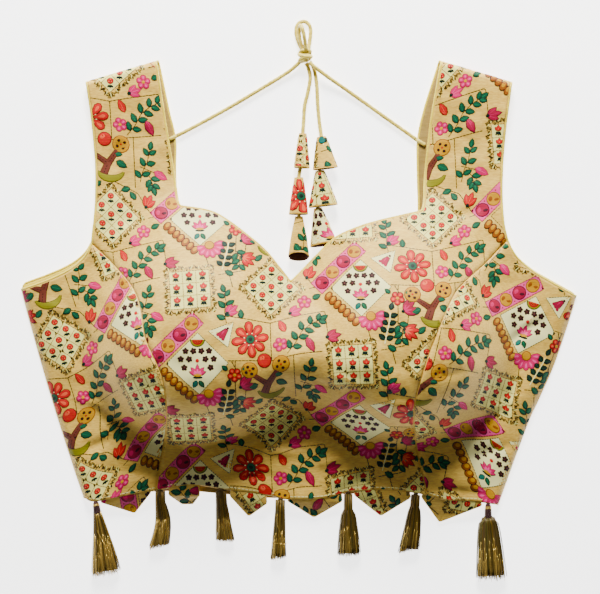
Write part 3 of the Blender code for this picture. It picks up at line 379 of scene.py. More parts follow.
def add_weave(material, across, along, strength, distance=0.0002):
    """Two crossed sets of threads as bump; across and along are threads a metre."""
    place = add_node(material, "ShaderNodeTexCoord")
    waves = [add_node(material, "ShaderNodeTexWave", bands_direction=way, Scale=threads / 3.2, Distortion=0.6,
                      Detail=1.0) for way, threads in (("X", across), ("Y", along))]
    total = add_node(material, "ShaderNodeMath", operation="ADD")
    bump = add_node(material, "ShaderNodeBump", Strength=strength, Distance=distance)
    shader = material.node_tree.nodes["Principled BSDF"]
    wire(material, (place, "Object", waves[0], "Vector"), (place, "Object", waves[1], "Vector"),
         (waves[0], "Fac", total, 0), (waves[1], "Fac", total, 1), (total, 0, bump, "Height"),
         (bump, "Normal", shader, "Normal"))


def add_slubs(material, colour, other, scale):
    """Base colour that drifts between two shades along uneven threads."""
    place = add_node(material, "ShaderNodeTexCoord")
    stretch = add_node(material, "ShaderNodeMapping", Scale=(scale * 0.22, scale, scale))
    noise = add_node(material, "ShaderNodeTexNoise", Scale=1.0, Detail=4.0, Roughness=0.62)
    ramp = add_node(material, "ShaderNodeValToRGB")
    for element, position, code in zip(ramp.color_ramp.elements, (0.34, 0.68), (colour, other)):
        element.position = position
        element.color = (*srgb(code), 1.0)
    shader = material.node_tree.nodes["Principled BSDF"]
    wire(material, (place, "Object", stretch, "Vector"), (stretch, "Vector", noise, "Vector"),
         (noise, "Fac", ramp, "Fac"), (ramp, "Color", shader, "Base Color"))


def new_material(name, colour, roughness, slubs=(), weave=(), **sockets):
    """A Principled material; constants sit on the shader's own sockets."""
    material = bpy.data.materials.new(name)
    material.use_nodes = True
    shader = material.node_tree.nodes["Principled BSDF"]
    colour = srgb(colour) if isinstance(colour, str) else colour
    shader.inputs["Base Color"].default_value = (*colour, 1.0)
    shader.inputs["Roughness"].default_value = roughness
    for socket, value in sockets.items():
        shader.inputs[socket.replace("_", " ")].default_value = value
    if slubs:
        add_slubs(material, *slubs)
    if weave:
        add_weave(material, *weave)
    return material


def make_looks():
    """All materials but the print's, by name; a tassel's threads are one list."""
    satin = {"Sheen_Weight": 0.1, "Specular_IOR_Level": 0.4}
    looks = {
        "silk": new_material("silk", "EAC65C", 0.45, ("D2A23C", "EFCA58", 900), (1500, 1300, 0.35),
                             Sheen_Weight=0.08, Sheen_Roughness=0.4, Specular_IOR_Level=0.35),
        "lining": new_material("lining", "957A36", 0.6, ("8A6F2E", "A38843", 500), (1200, 1200, 0.3),
                               Sheen_Weight=0.05, Specular_IOR_Level=0.3),
        "piping": new_material("piping", "E4CA3A", 0.35, ("DCC030", "ECD440", 420), (1900, 600, 0.25), **satin),
        "tie": new_material("tie", "DCC450", 0.35, ("C2AA3A", "E6D25C", 260), (1900, 600, 0.25), **satin),
        "maroon": new_material("latkan_lining", "3A1414", 0.6, (), (1400, 1400, 0.3), Sheen_Weight=0.05,
                               Specular_IOR_Level=0.25),
    }
    finishes = (("7C611F", 0.36, 0.3), ("4A3810", 0.45, 0.15), ("D9B65A", 0.26, 0.6), ("554C1C", 0.42, 0.25),
                ("8E8672", 0.45, 0.1), ("3C1613", 0.5, 0.0))
    looks["threads"] = [new_material(f"thread_{name}", code, rough, (), (2600, 900, 0.3, 0.0001), Metallic=metal,
                                     Anisotropic=0.5, Specular_IOR_Level=0.35)
                        for name, (code, rough, metal) in zip(THREADS, finishes)]
    looks["steel"] = new_material("hook_steel", "B9B8B2", 0.26, (), (240, 3000, 0.12, 0.00005), Metallic=1.0)
    looks["bar"] = new_material("bar_thread", "E9DDBB", 0.6, (), (2200, 2200, 0.35, 0.0001), Sheen_Weight=0.1)
    return looks


def print_materials():
    """A thread-like finish for each of the print's colours."""
    materials = []
    for name, code in PRINT_COLOURS.items():
        pale, gold = name in ("cream", "white"), name in ("gold", "bronze")
        materials.append(new_material(
            f"print_{name}", code, 0.34 if gold else 0.55, (), (1500, 1300, 0.25) if pale else (2100, 500, 0.25),
            Sheen_Weight=0.03, Sheen_Roughness=0.4, Metallic=0.35 if gold else 0.0,
            Specular_IOR_Level=0.35 if gold else 0.2))
    return materials


# ------------------------------------------------------------------- curves

def unit(vectors):
    return vectors / np.maximum(np.linalg.norm(vectors, axis=-1, keepdims=True), 1e-12)


def steps_of(points):
    return np.linalg.norm(np.diff(points, axis=0), axis=1)


def path_length(points):
    return float(steps_of(points).sum())


def runs_of(points):
    """Distance along a path to each of its points."""
    return np.concatenate([[0.0], np.cumsum(steps_of(points))])


def at_runs(points, places):
    """Points of a path at distances along it."""
    return np.stack([np.interp(places, runs_of(points), column) for column in points.T], axis=1)


def resample(points, count):
    return at_runs(points, np.linspace(0.0, runs_of(points)[-1], count + 1))


def smooth_path(knots, count):
    """count + 1 points evenly spaced along a smooth curve through the knots."""
    points = np.array(knots, float)
    ends = np.vstack([2 * points[0] - points[1], points, 2 * points[-1] - points[-2]])
    t = (np.arange(CURVE_STEPS) / CURVE_STEPS)[:, None]
    parts = [0.5 * (2 * start + (end - before) * t + (2 * before - 5 * start + 4 * end - after) * t ** 2
                    + (3 * start - before - 3 * end + after) * t ** 3)
             for before, start, end, after in zip(ends, ends[1:], ends[2:], ends[3:])]
    return resample(np.vstack(parts + [points[-1:]]), count)


def smooth_step(low, high, value):
    share = np.clip((value - low) / (high - low), 0.0, 1.0)
    return share * share * (3 - 2 * share)


def beside(path, distance):
    """A flat path moved sideways, to its right where distance is positive."""
    along = unit(np.vstack([path[1:], path[-1:]]) - np.vstack([path[:1], path[:-1]]))
    return path + np.stack([along[:, 1], -along[:, 0]], axis=1) * distance


def distance_to_path(x, y, path):
    """Distance from points to a flat path, and how far along it they lie."""
    x, y = np.asarray(x, float), np.asarray(y, float)
    best, place, before = np.full(x.shape, 1e9), np.zeros(x.shape), 0.0
    for start, end in zip(path, path[1:]):
        run = end - start
        length = np.hypot(*run)
        if length < 1e-9:
            continue
        share = np.clip(((x - start[0]) * run[0] + (y - start[1]) * run[1]) / length ** 2, 0, 1)
        gap = np.hypot(x - start[0] - run[0] * share, y - start[1] - run[1] * share)
        nearer = gap < best
        best, place = np.where(nearer, gap, best), np.where(nearer, before + share * length, place)
        before += length
    return best, place


# -------------------------------------------------------- form of the cloth

def cup_height(x, y, side):
    """One padded cup: full above, then steep under the bust."""
    across, along = (x - side * CUP_CENTRE_X) * side, y - CUP_CENTRE_Y
    across = across / np.where(across > 0, CUP_REACH_OUT, CUP_REACH_IN)
    along = along / np.where(along > 0, CUP_REACH_UP, CUP_REACH_DOWN)
    radius = np.hypot(across, along)
    upward = 0.5 + 0.5 * along / np.maximum(radius, 1e-9)
    power = CUP_CURVE_DOWN + (CUP_CURVE_UP - CUP_CURVE_DOWN) * upward
    return CUP_HEIGHT * np.cos(pi / 2 * np.minimum(radius, 1.0) ** power) ** 2


def bridge_height(x, y):
    """The cloth stretched between the cups."""
    radius = np.hypot(x / BRIDGE_REACH_X, (y - BRIDGE_CENTRE_Y) / BRIDGE_REACH_Y)
    return BRIDGE_HEIGHT * np.cos(pi / 2 * np.minimum(radius, 1.0)) ** 2


def fold_height(x, y, fold):
    start_x, start_y, end_x, end_y, width, height = fold
    run_x, run_y = end_x - start_x, end_y - start_y
    across, along = x - start_x, y - start_y
    share = np.clip((across * run_x + along * run_y) / (run_x * run_x + run_y * run_y), 0.0, 1.0)
    distance = np.hypot(across - run_x * share, along - run_y * share)
    return height * (0.35 + 0.65 * np.sin(pi * share)) * np.exp(-(distance / width) ** 2)


def folds_height(x, y, folds):
    return sum(fold_height(x, y, fold) for fold in folds)


def waves(x, y):
    return sum(height * np.sin(wave_x * x + wave_y * y + phase) for wave_x, wave_y, phase, height in CLOTH_WAVES)


def side_distance(x, y):
    """How far points lie inside the nearer side seam's straight line."""
    result = np.zeros(np.shape(x))
    for side, mask in ((-1, x < 0), (1, x >= 0)):
        start, end = np.array(SIDE_SEAM[side][0]), np.array(SIDE_SEAM[side][-1])
        run = end - start
        gap = np.abs(run[0] * (y - start[1]) - run[1] * (x - start[0])) / np.hypot(*run)
        result = np.where(mask, gap, result)
    return result


def shoulder_distance(x, y):
    """How far points lie below the shoulder line; negative past it."""
    return (SHOULDER_OUTER_Y + (SHOULDER_OUTER_X - np.abs(x)) * SHOULDER_SLOPE - y) / SHOULDER_RUN


SIDE_PATHS = [smooth_path(SIDE_SEAM[side], 30) for side in SIDES]
SEAM_PATHS = [smooth_path(PRINCESS[side], 60) for side in SIDES]


def front_height(x, y):
    """Height of the front's outer face above the surface."""
    body = 1.0 - smooth_step(BODY_LOFT_FULL_Y, BODY_LOFT_START_Y, y)
    roll = 1.0 - np.exp(-side_distance(x, y) / SIDE_ROLL_WIDTH)
    height = REST_HEIGHT + BODY_LOFT * body * roll
    height = height + cup_height(x, y, -1) + cup_height(x, y, 1) + bridge_height(x, y)
    below = shoulder_distance(x, y)
    creases = folds_height(x, y, FRONT_FOLDS + FRONT_CREASES)
    height = height + roll * (creases + waves(x, y)) * smooth_step(0.0, 22.0, below)
    for path in SEAM_PATHS:
        gap, place = distance_to_path(x, y, path)
        height = height - SEAM_GROOVE_DEPTH * np.exp(-(gap / SEAM_GROOVE_WIDTH) ** 2)
        pucker = 0.5 + 0.5 * np.sin(place * SEAM_PUCKER_WAVE + 1.7 * np.sin(place * 0.21))
        height = height - SEAM_PUCKER_DEPTH * pucker * np.exp(-(gap / SEAM_PUCKER_WIDTH) ** 2) * roll
    lift = 1.0 - smooth_step(0.0, STRAP_LIFT_LENGTH, below)
    height = height + np.where(y > BODY_LOFT_FULL_Y, lift * (2 * SHOULDER_FOLD_RADIUS - REST_HEIGHT), 0.0)
    edge = np.minimum(*(distance_to_path(x, y, path)[0] for path in SIDE_PATHS))
    return height - SIDE_DROP * np.exp(-edge / SIDE_DROP_WIDTH)


def broad_height(x, y):
    """The front's height without its small creases, for the print's stretch."""
    height = cup_height(x, y, -1) + cup_height(x, y, 1) + bridge_height(x, y)
    return height + folds_height(x, y, FRONT_FOLDS)


def back_lift(x, y):
    """How far the back's outer face lifts off the surface in its creases."""
    lift = folds_height(x, y, BACK_CREASES) + 0.4 * waves(x, y)
    return BACK_RAISE + np.maximum(0.0, lift) * smooth_step(0.0, 22.0, shoulder_distance(x, y))


class HeightMap:
    """A height function sampled on a fine grid and read between its points."""

    def __init__(self, function, low=(-244.0, -178.0), high=(244.0, 232.0), step=1.0):
        self.low, self.step = np.array(low, float), step
        counts = np.ceil((np.array(high) - self.low) / step).astype(int) + 1
        x, y = (self.low[axis] + step * np.arange(counts[axis]) for axis in (0, 1))
        self.grid = function(*np.meshgrid(x, y))

    def read(self, x, y, grid=None):
        grid = self.grid if grid is None else grid
        column = np.clip((x - self.low[0]) / self.step, 0, grid.shape[1] - 1.001)
        row = np.clip((y - self.low[1]) / self.step, 0, grid.shape[0] - 1.001)
        i, j = column.astype(int), row.astype(int)
        u, v = column - i, row - j
        return ((grid[j, i] * (1 - u) + grid[j, i + 1] * u) * (1 - v)
                + (grid[j + 1, i] * (1 - u) + grid[j + 1, i + 1] * u) * v)


def sloped(height, x, y, step=SLOPE_STEP):
    """Points of a height function with their upward directions."""
    slope_x = (height(x + step, y) - height(x - step, y)) / (2 * step)
    slope_y = (height(x, y + step) - height(x, y - step)) / (2 * step)
    normals = unit(np.stack([-slope_x, -slope_y, np.ones_like(slope_x)], axis=-1))
    return np.stack([x, y, height(x, y)], axis=-1), normals


def over_shoulder(x, y, points, normals, radius, facing):
    """Turns the cloth past the shoulder line round the fold."""
    below = shoulder_distance(x, y)
    past = (below < 0)[..., None]
    angle = np.clip(-below / SHOULDER_FOLD_RADIUS, 0.0, SHOULDER_FOLD_ANGLE)
    away = np.stack([np.sign(x) * SHOULDER_SLOPE / SHOULDER_RUN, np.full_like(x, 1.0 / SHOULDER_RUN),
                     np.zeros_like(x)], axis=-1)
    up = np.zeros_like(away)
    up[..., 2] = facing
    foot = np.stack([x, y, np.full_like(x, SHOULDER_FOLD_RADIUS)], axis=-1) + away * below[..., None]
    reach = SHOULDER_FOLD_RADIUS + (radius - SHOULDER_FOLD_RADIUS) * (1 - angle / SHOULDER_FOLD_ANGLE)
    direction = away * np.sin(angle)[..., None] + up * np.cos(angle)[..., None]
    return np.where(past, foot + direction * reach[..., None], points), np.where(past, direction, normals)


def placer(height, facing, step=SLOPE_STEP):
    """A function that gives the outer face's points and outward directions; facing -1 is the back's."""
    radius = SHOULDER_FOLD_RADIUS if facing > 0 else SHOULDER_FOLD_RADIUS - BACK_RAISE

    def place(x, y):
        points, normals = sloped(height, x, y, step)
        return over_shoulder(x, y, points, normals * facing, radius, facing)

    return place


front_place, back_place = placer(front_height, 1.0), placer(back_lift, -1.0)


# -------------------------------------------------------------- flat grids

def patch(top, bottom, left, right):
    """A grid of flat points that fills four boundary paths, top row first."""
    v = np.linspace(0.0, 1.0, len(left))[:, None, None]
    u = np.linspace(0.0, 1.0, len(top))[None, :, None]
    left_pull = left[:, None] - (left[0] * (1 - v) + left[-1] * v)
    right_pull = right[:, None] - (right[0] * (1 - v) + right[-1] * v)
    return top[None] * (1 - v) + bottom[None] * v + left_pull * (1 - u) + right_pull * u


def strap_grid(base, left, right):
    """A strap's flat points from its base line up and round the shoulder fold."""
    left, right = smooth_path(left, STRAP_ROWS), smooth_path(right, STRAP_ROWS)
    u = np.linspace(0.0, 1.0, len(base))[None, :, None]
    grid = np.concatenate([base[None], left[1:, None] * (1 - u) + right[1:, None] * u])
    away = np.array((np.sign(left[-1][0]) * SHOULDER_SLOPE, 1.0)) / SHOULDER_RUN
    arcs = np.linspace(0.0, SHOULDER_FOLD_RADIUS * SHOULDER_FOLD_ANGLE, FOLD_ROWS + 1)[1:]
    line = grid[-1] + away * shoulder_distance(grid[-1][:, 0], grid[-1][:, 1])[:, None]
    return np.concatenate([grid, line[None] + away * arcs[:, None, None]])


def columns_below(top, hem, first_x, last_x):
    share = (top[:, 0] - top[0, 0]) / (top[-1, 0] - top[0, 0])
    x = first_x + (last_x - first_x) * share
    return np.stack([x, np.interp(x, hem[:, 0], hem[:, 1])], axis=1)


def front_centre_grids():
    """The centre front and its straps, by part."""
    left, right = (beside(smooth_path(PRINCESS[side], BODY_ROWS), side * SEAM_GAP / 2) for side in SIDES)
    left_base = resample(np.array([left[0], STRAP_INNER[-1][0]]), STRAP_COLUMNS)
    right_base = resample(np.array([STRAP_INNER[1][0], right[0]]), STRAP_COLUMNS)
    necks = [smooth_path(NECKLINE[side], NECK_COLUMNS)[1:] for side in SIDES]
    top = np.vstack([left_base, *necks, right_base[1:]])
    bottom = columns_below(top, FRONT_HEM_PATH, left[-1, 0], right[-1, 0])
    left[-1, 1], right[-1, 1] = bottom[0, 1], bottom[-1, 1]
    return (patch(top, bottom, left, right), strap_grid(left_base, STRAP_OUTER[-1], STRAP_INNER[-1]),
            strap_grid(right_base, STRAP_INNER[1], STRAP_OUTER[1]))


def front_side_grid(side):
    seam = beside(smooth_path(PRINCESS[side], BODY_ROWS), -side * SEAM_GAP / 2)
    outer = smooth_path(SIDE_SEAM[side], BODY_ROWS)
    top = smooth_path(ARMHOLE[side], SIDE_COLUMNS)
    top[0] = seam[0]
    bottom = columns_below(top, FRONT_HEM_PATH, seam[-1, 0], outer[-1, 0])
    seam[-1, 1] = bottom[0, 1]
    bottom[-1] = outer[-1]
    return patch(top, bottom, seam, outer)


def back_grids(side):
    """One back half and its strap, a little inside the front at the side seam."""
    arm = smooth_path(ARMHOLE[side], BACK_ARM_COLUMNS)[::-1]
    share = np.linspace(0.0, 1.0, len(arm))
    arm[1:, 1] += (BACK_ARMHOLE_SHIFT[side] * (np.cos(pi / 2 * share) + STRAP_SHIFT_SHARE * share))[1:]
    base = resample(np.array([arm[-1], BACK_STRAP_INNER[side][0]]), STRAP_COLUMNS)
    neck = smooth_path(BACK_NECK[side], BACK_NECK_COLUMNS)
    neck[-1, 0] = side * SEAM_GAP / 2
    outer = smooth_path(SIDE_SEAM[side], BACK_ROWS)
    outer[:, 0] -= side * BACK_INSET
    arm[0] = outer[0]
    top = np.vstack([arm, base[1:], neck[1:]])
    bottom = columns_below(top, smooth_path(BACK_HEM, HEM_STEPS), outer[-1, 0], side * SEAM_GAP / 2)
    bottom[:, 1] += BACK_INSET
    outer[-1] = bottom[0]
    centre = resample(np.array([top[-1], bottom[-1]]), BACK_ROWS)
    strap = strap_grid(base, (tuple(arm[-1]),) + STRAP_OUTER[side][1:], BACK_STRAP_INNER[side])
    return patch(top, bottom, outer, centre), strap


# ------------------------------------------------------------------- meshes

FRONT_HEM_PATH = smooth_path(FRONT_HEM, HEM_STEPS)


def grid_faces(rows, columns, start=0):
    row, column = np.meshgrid(np.arange(rows - 1), np.arange(columns - 1), indexing="ij")
    corner = (start + row * columns + column).ravel()
    return np.stack([corner, corner + columns, corner + columns + 1, corner + 1], axis=1)


def ring_faces(rings, sides, closed=False):
    """Faces between rings of points; the ends get a face each unless they are joined."""
    row, column = np.meshgrid(np.arange(rings if closed else rings - 1), np.arange(sides), indexing="ij")
    after, below = (column + 1) % sides, (row + 1) % rings
    faces = np.stack([row * sides + column, row * sides + after, below * sides + after,
                      below * sides + column], axis=-1).reshape(-1, 4).tolist()
    return faces if closed else faces + [list(range(sides))[::-1], list(range((rings - 1) * sides, rings * sides))]


def add_object(name, vertices, faces, slots, materials, kind, stands_for=(), lowest=-1.0, sharp=None):
    """A mesh from millimetre points, none below lowest, with its slot and its CAD nodes."""
    vertices = np.array(vertices)
    vertices[:, 2] = np.maximum(vertices[:, 2], lowest)
    mesh = bpy.data.meshes.new(name)
    sizes = np.array([len(face) for face in faces], np.int32)
    corners = np.concatenate([np.asarray(face) for face in faces]).astype(np.int32)
    mesh.vertices.add(len(vertices))
    mesh.vertices.foreach_set("co", (vertices * MM).astype(np.float32).ravel())
    mesh.loops.add(len(corners))
    mesh.loops.foreach_set("vertex_index", corners)
    mesh.polygons.add(len(sizes))
    mesh.polygons.foreach_set("loop_start", np.concatenate([[0], np.cumsum(sizes)[:-1]]).astype(np.int32))
    for material in materials:
        mesh.materials.append(material)
    mesh.polygons.foreach_set("material_index", np.array(np.broadcast_to(slots, len(sizes)), np.int32))
    mesh.update(calc_edges=True)
    mesh.validate()
    mesh.shade_smooth()
    if sharp:
        mesh.set_sharp_from_angle(angle=radians(sharp))
        body = bmesh.new()
        body.from_mesh(mesh)
        bmesh.ops.recalc_face_normals(body, faces=body.faces)
        body.to_mesh(mesh)
        body.free()
    piece = bpy.data.objects.new(name, mesh)
    bpy.context.scene.collection.objects.link(piece)
    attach(piece, "root")
    if stands_for:
        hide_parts(*stands_for)
    return piece


def merged(parts):
    """Joins parts (vertices, faces, material number) into one mesh's three lists."""
    vertices, faces, slots, start = [], [], [], 0
    for part_vertices, part_faces, slot in parts:
        vertices.append(part_vertices)
        faces += [[corner + start for corner in face] for face in part_faces]
        slots += [slot] * len(part_faces)
        start += len(part_vertices)
    return np.vstack(vertices), faces, slots


def build_cloth(name, grids, place, thickness, materials, stands_for, faced=None):
    """A closed wall over flat grids, welded where they meet.

    Inner faces near the edge called faced take the third material.
    """
    points, normals, faces = [], [], []
    start = 0
    for grid in grids:
        at, facing = place(grid[..., 0], grid[..., 1])
        points.append(at.reshape(-1, 3))
        normals.append(facing.reshape(-1, 3))
        faces.append(grid_faces(*grid.shape[:2], start))
        start += len(points[-1])
    points, normals, faces = np.vstack(points), np.vstack(normals), np.vstack(faces)
    _, first, same = np.unique(np.round(points, 3), axis=0, return_index=True, return_inverse=True)
    points, normals = points[first], normals[first]
    faces = same.ravel()[faces]
    wound = np.cross(points[faces[:, 2]] - points[faces[:, 0]], points[faces[:, 3]] - points[faces[:, 1]])
    wrong = (wound * normals[faces].sum(axis=1)).sum(axis=1) < 0
    faces[wrong] = faces[wrong][:, ::-1]
    count = len(points)
    edges = np.vstack([faces[:, [a, b]] for a, b in ((0, 1), (1, 2), (2, 3), (3, 0))])
    rim = edges[~np.isin(edges[:, 0] * count + edges[:, 1], edges[:, 1] * count + edges[:, 0])]
    a, b = rim.T
    out = np.zeros_like(points)
    sideways = np.cross(unit(points[b] - points[a]), normals[a])
    np.add.at(out, a, sideways)
    np.add.at(out, b, sideways)
    used = np.unique(rim)
    number = np.zeros(count, int)
    number[used] = np.arange(len(used)) + 2 * count
    inner = points - normals * thickness
    middle = (points - normals * thickness / 2)[used] + unit(out)[used] * RIM_BULGE
    upper = np.stack([b, a, number[a], number[b]], axis=1)
    lower = np.stack([number[b], number[a], a + count, b + count], axis=1)
    every = np.vstack([faces, faces[:, ::-1] + count, upper, lower])
    slots = np.zeros(len(every))
    slots[len(faces):2 * len(faces)] = 1
    if faced is not None:
        middles = inner[faces].mean(axis=1)[:, None, :2]
        near = np.linalg.norm(middles - faced[None], axis=2).min(axis=1) < FACING_WIDTH
        slots[len(faces):2 * len(faces)][near] = 2
    return add_object(name, np.vstack([points, inner, middle]), every, slots, materials, "printed_silk",
                      stands_for, 0.05)


# -------------------------------------------------------------------- tubes

def tube_frames(path):
    """Directions along and across a path, turned as little as possible."""
    along = unit(np.vstack([path[1:] - path[:-1], path[-1:] - path[-2:-1]]))
    along[1:-1] = unit(along[1:-1] + along[:-2])
    side = np.cross(along[0], (0.0, 0.0, 1.0))
    if np.linalg.norm(side) < 1e-6:
        side = np.array((1.0, 0.0, 0.0))
    sides = []
    for direction in along:
        side = side - direction * (side @ direction)
        side = side / np.linalg.norm(side)
        sides.append(side)
    return np.array(sides), np.cross(sides, along)


def tube(path, radius, sides=12, wrinkle=0.0, pitch=2.4, flatten=1.0, closed=False):
    """Vertices and faces of a tube with slanting wrinkles, closed at its ends."""
    across, up = tube_frames(path)
    angle = np.arange(sides) * 2 * pi / sides
    turn = runs_of(path)[:, None] * 2 * pi / pitch
    swell = 1 + wrinkle * (np.sin(turn + angle) + 0.6 * np.sin(turn * 0.618 - 2 * angle + 1.3)
                           + 0.5 * np.sin(turn * 0.173 + 0.7))
    reach = (np.broadcast_to(radius, len(path))[:, None] * swell)[..., None]
    ring = (across[:, None] * np.cos(angle)[None, :, None]
            + up[:, None] * (np.sin(angle) * flatten)[None, :, None]) * reach
    return (path[:, None] + ring).reshape(-1, 3), ring_faces(len(path), sides, closed)


def frame_between(start, end):
    """Directions along, across and up for something that runs between two points."""
    along = unit(end - start)
    across = unit(np.cross(along, (0.0, 0.0, 1.0)))
    return along, across, np.cross(across, along)


def oval_ring(centre, across, up, width, depth, count=24):
    """Points round an oval, which starts across."""
    angle = (np.arange(count) * 2 * pi / count)[:, None]
    return centre + across * (width * np.cos(angle)) + up * (depth * np.sin(angle))


def build_piping(name, grid_edges, place, thickness, side, material):
    """A satin piping that stands for the node of that name."""
    flat = np.vstack(grid_edges)
    points, normals = place(flat[:, 0], flat[:, 1])
    middles = points - normals * (thickness / 2)
    keep = [0]
    for number in range(1, len(middles)):
        if np.linalg.norm(middles[number] - middles[keep[-1]]) > PIPING_STEP:
            keep.append(number)
    middles, normals = middles[keep], normals[keep]
    steps = middles[1:] - middles[:-1]
    before, after = unit(np.vstack([steps[:1], steps])), unit(np.vstack([steps, steps[-1:]]))
    out = unit(np.cross(before + after, normals)) * side
    half_turn = np.sqrt(np.maximum(0.4, 0.5 + 0.5 * (before * after).sum(axis=1)))
    path = middles + out * (PIPING_RADIUS * PIPING_TUCK / half_turn)[:, None]
    smoothed = path.copy()
    smoothed[1:-1] = (path[:-2] + 2 * path[1:-1] + path[2:]) / 4
    path = resample(smoothed, max(8, round(path_length(smoothed) / CORD_STEP)))
    path[:, 2] = np.maximum(path[:, 2], PIPING_RADIUS + 0.1)
    return add_object(name + "_satin", *tube(path, PIPING_RADIUS * 1.02, 12, 0.035, 3.1, 1.12), 0, [material],
                      "piping_satin", [name], 0.02)


# -------------------------------------------------------------- hem points

def hem_edge(x):
    return np.interp(x, FRONT_HEM_PATH[:, 0], FRONT_HEM_PATH[:, 1])


def triangle_grid(row):
    """Outer points of a folded hem triangle, root row first."""
    left_root, left_x, left_y, tip_x, tip_y, right_x, right_y, right_root, tip_width = row
    share = np.linspace(0.0, 1.0, TRIANGLE_ROWS + 1)[:, None]
    across = np.linspace(0.0, 1.0, TRIANGLE_COLUMNS + 1)[None, :]
    root_x = left_root + (right_root - left_root) * across
    root_y = hem_edge(root_x) + TRIANGLE_ROOT_TUCK
    upper = np.clip(share / TRIANGLE_ROOT_SHARE, 0.0, 1.0)
    lower = np.clip((share - TRIANGLE_ROOT_SHARE) / (1 - TRIANGLE_ROOT_SHARE), 0.0, 1.0)
    flat = []
    for root, notch, tip in ((root_x, left_x + (right_x - left_x) * across, tip_x + (across - 0.5) * tip_width),
                             (root_y, left_y + (right_y - left_y) * across, tip_y)):
        flat.append(np.where(lower > 0, notch + (tip - notch) * lower, root + (notch - root) * upper))
    root_height = front_height(root_x, root_y) - 0.4
    rest = TRIANGLE_THICKNESS + TRIANGLE_FLOOR_GAP
    height = rest + (root_height - rest) * (1 - smooth_step(0.0, 1.0, share))
    height = height + TRIANGLE_CROWN * np.sin(pi * across) * (1 - share) * share
    height = height - TRIANGLE_CREASE * np.exp(-((across - 0.5) / 0.035) ** 2) * smooth_step(0.2, 0.5, share)
    return np.stack([*flat, height], axis=-1)


def build_triangle(number, row, materials):
    """A folded fabric triangle; its flat grid comes back with it."""
    points = triangle_grid(row)
    rows, columns = points.shape[:2]
    outer = points.reshape(-1, 3)
    inner = outer - np.array((0.0, 0.0, TRIANGLE_THICKNESS))
    count = len(outer)
    faces = grid_faces(rows, columns)
    border = np.concatenate([np.arange(columns), np.arange(2 * columns - 1, rows * columns, columns),
                             np.arange(rows * columns - 2, (rows - 1) * columns - 1, -1),
                             np.arange((rows - 2) * columns, 0, -columns)])
    out = unit((outer - outer.mean(axis=0)) * (1.0, 1.0, 0.0))
    middle = outer[border] - (0.0, 0.0, TRIANGLE_THICKNESS / 2) + out[border] * 0.45
    after, ring = np.roll(border, -1), np.arange(len(border)) + 2 * count
    ring_after = np.roll(ring, -1)
    upper = np.stack([border, after, ring_after, ring], axis=1)
    lower = np.stack([ring, ring_after, after + count, border + count], axis=1)
    every = np.vstack([faces, faces[:, ::-1] + count, upper[:, ::-1], lower[:, ::-1]])
    piece = add_object(f"hem_point_{number}", np.vstack([outer, inner, middle]), every, 0, materials[:1],
                       "printed_silk", [f"hem_triangle_{number}"], sharp=60)
    return piece, points[..., :2]


# ------------------------------------------------------------------- tassels

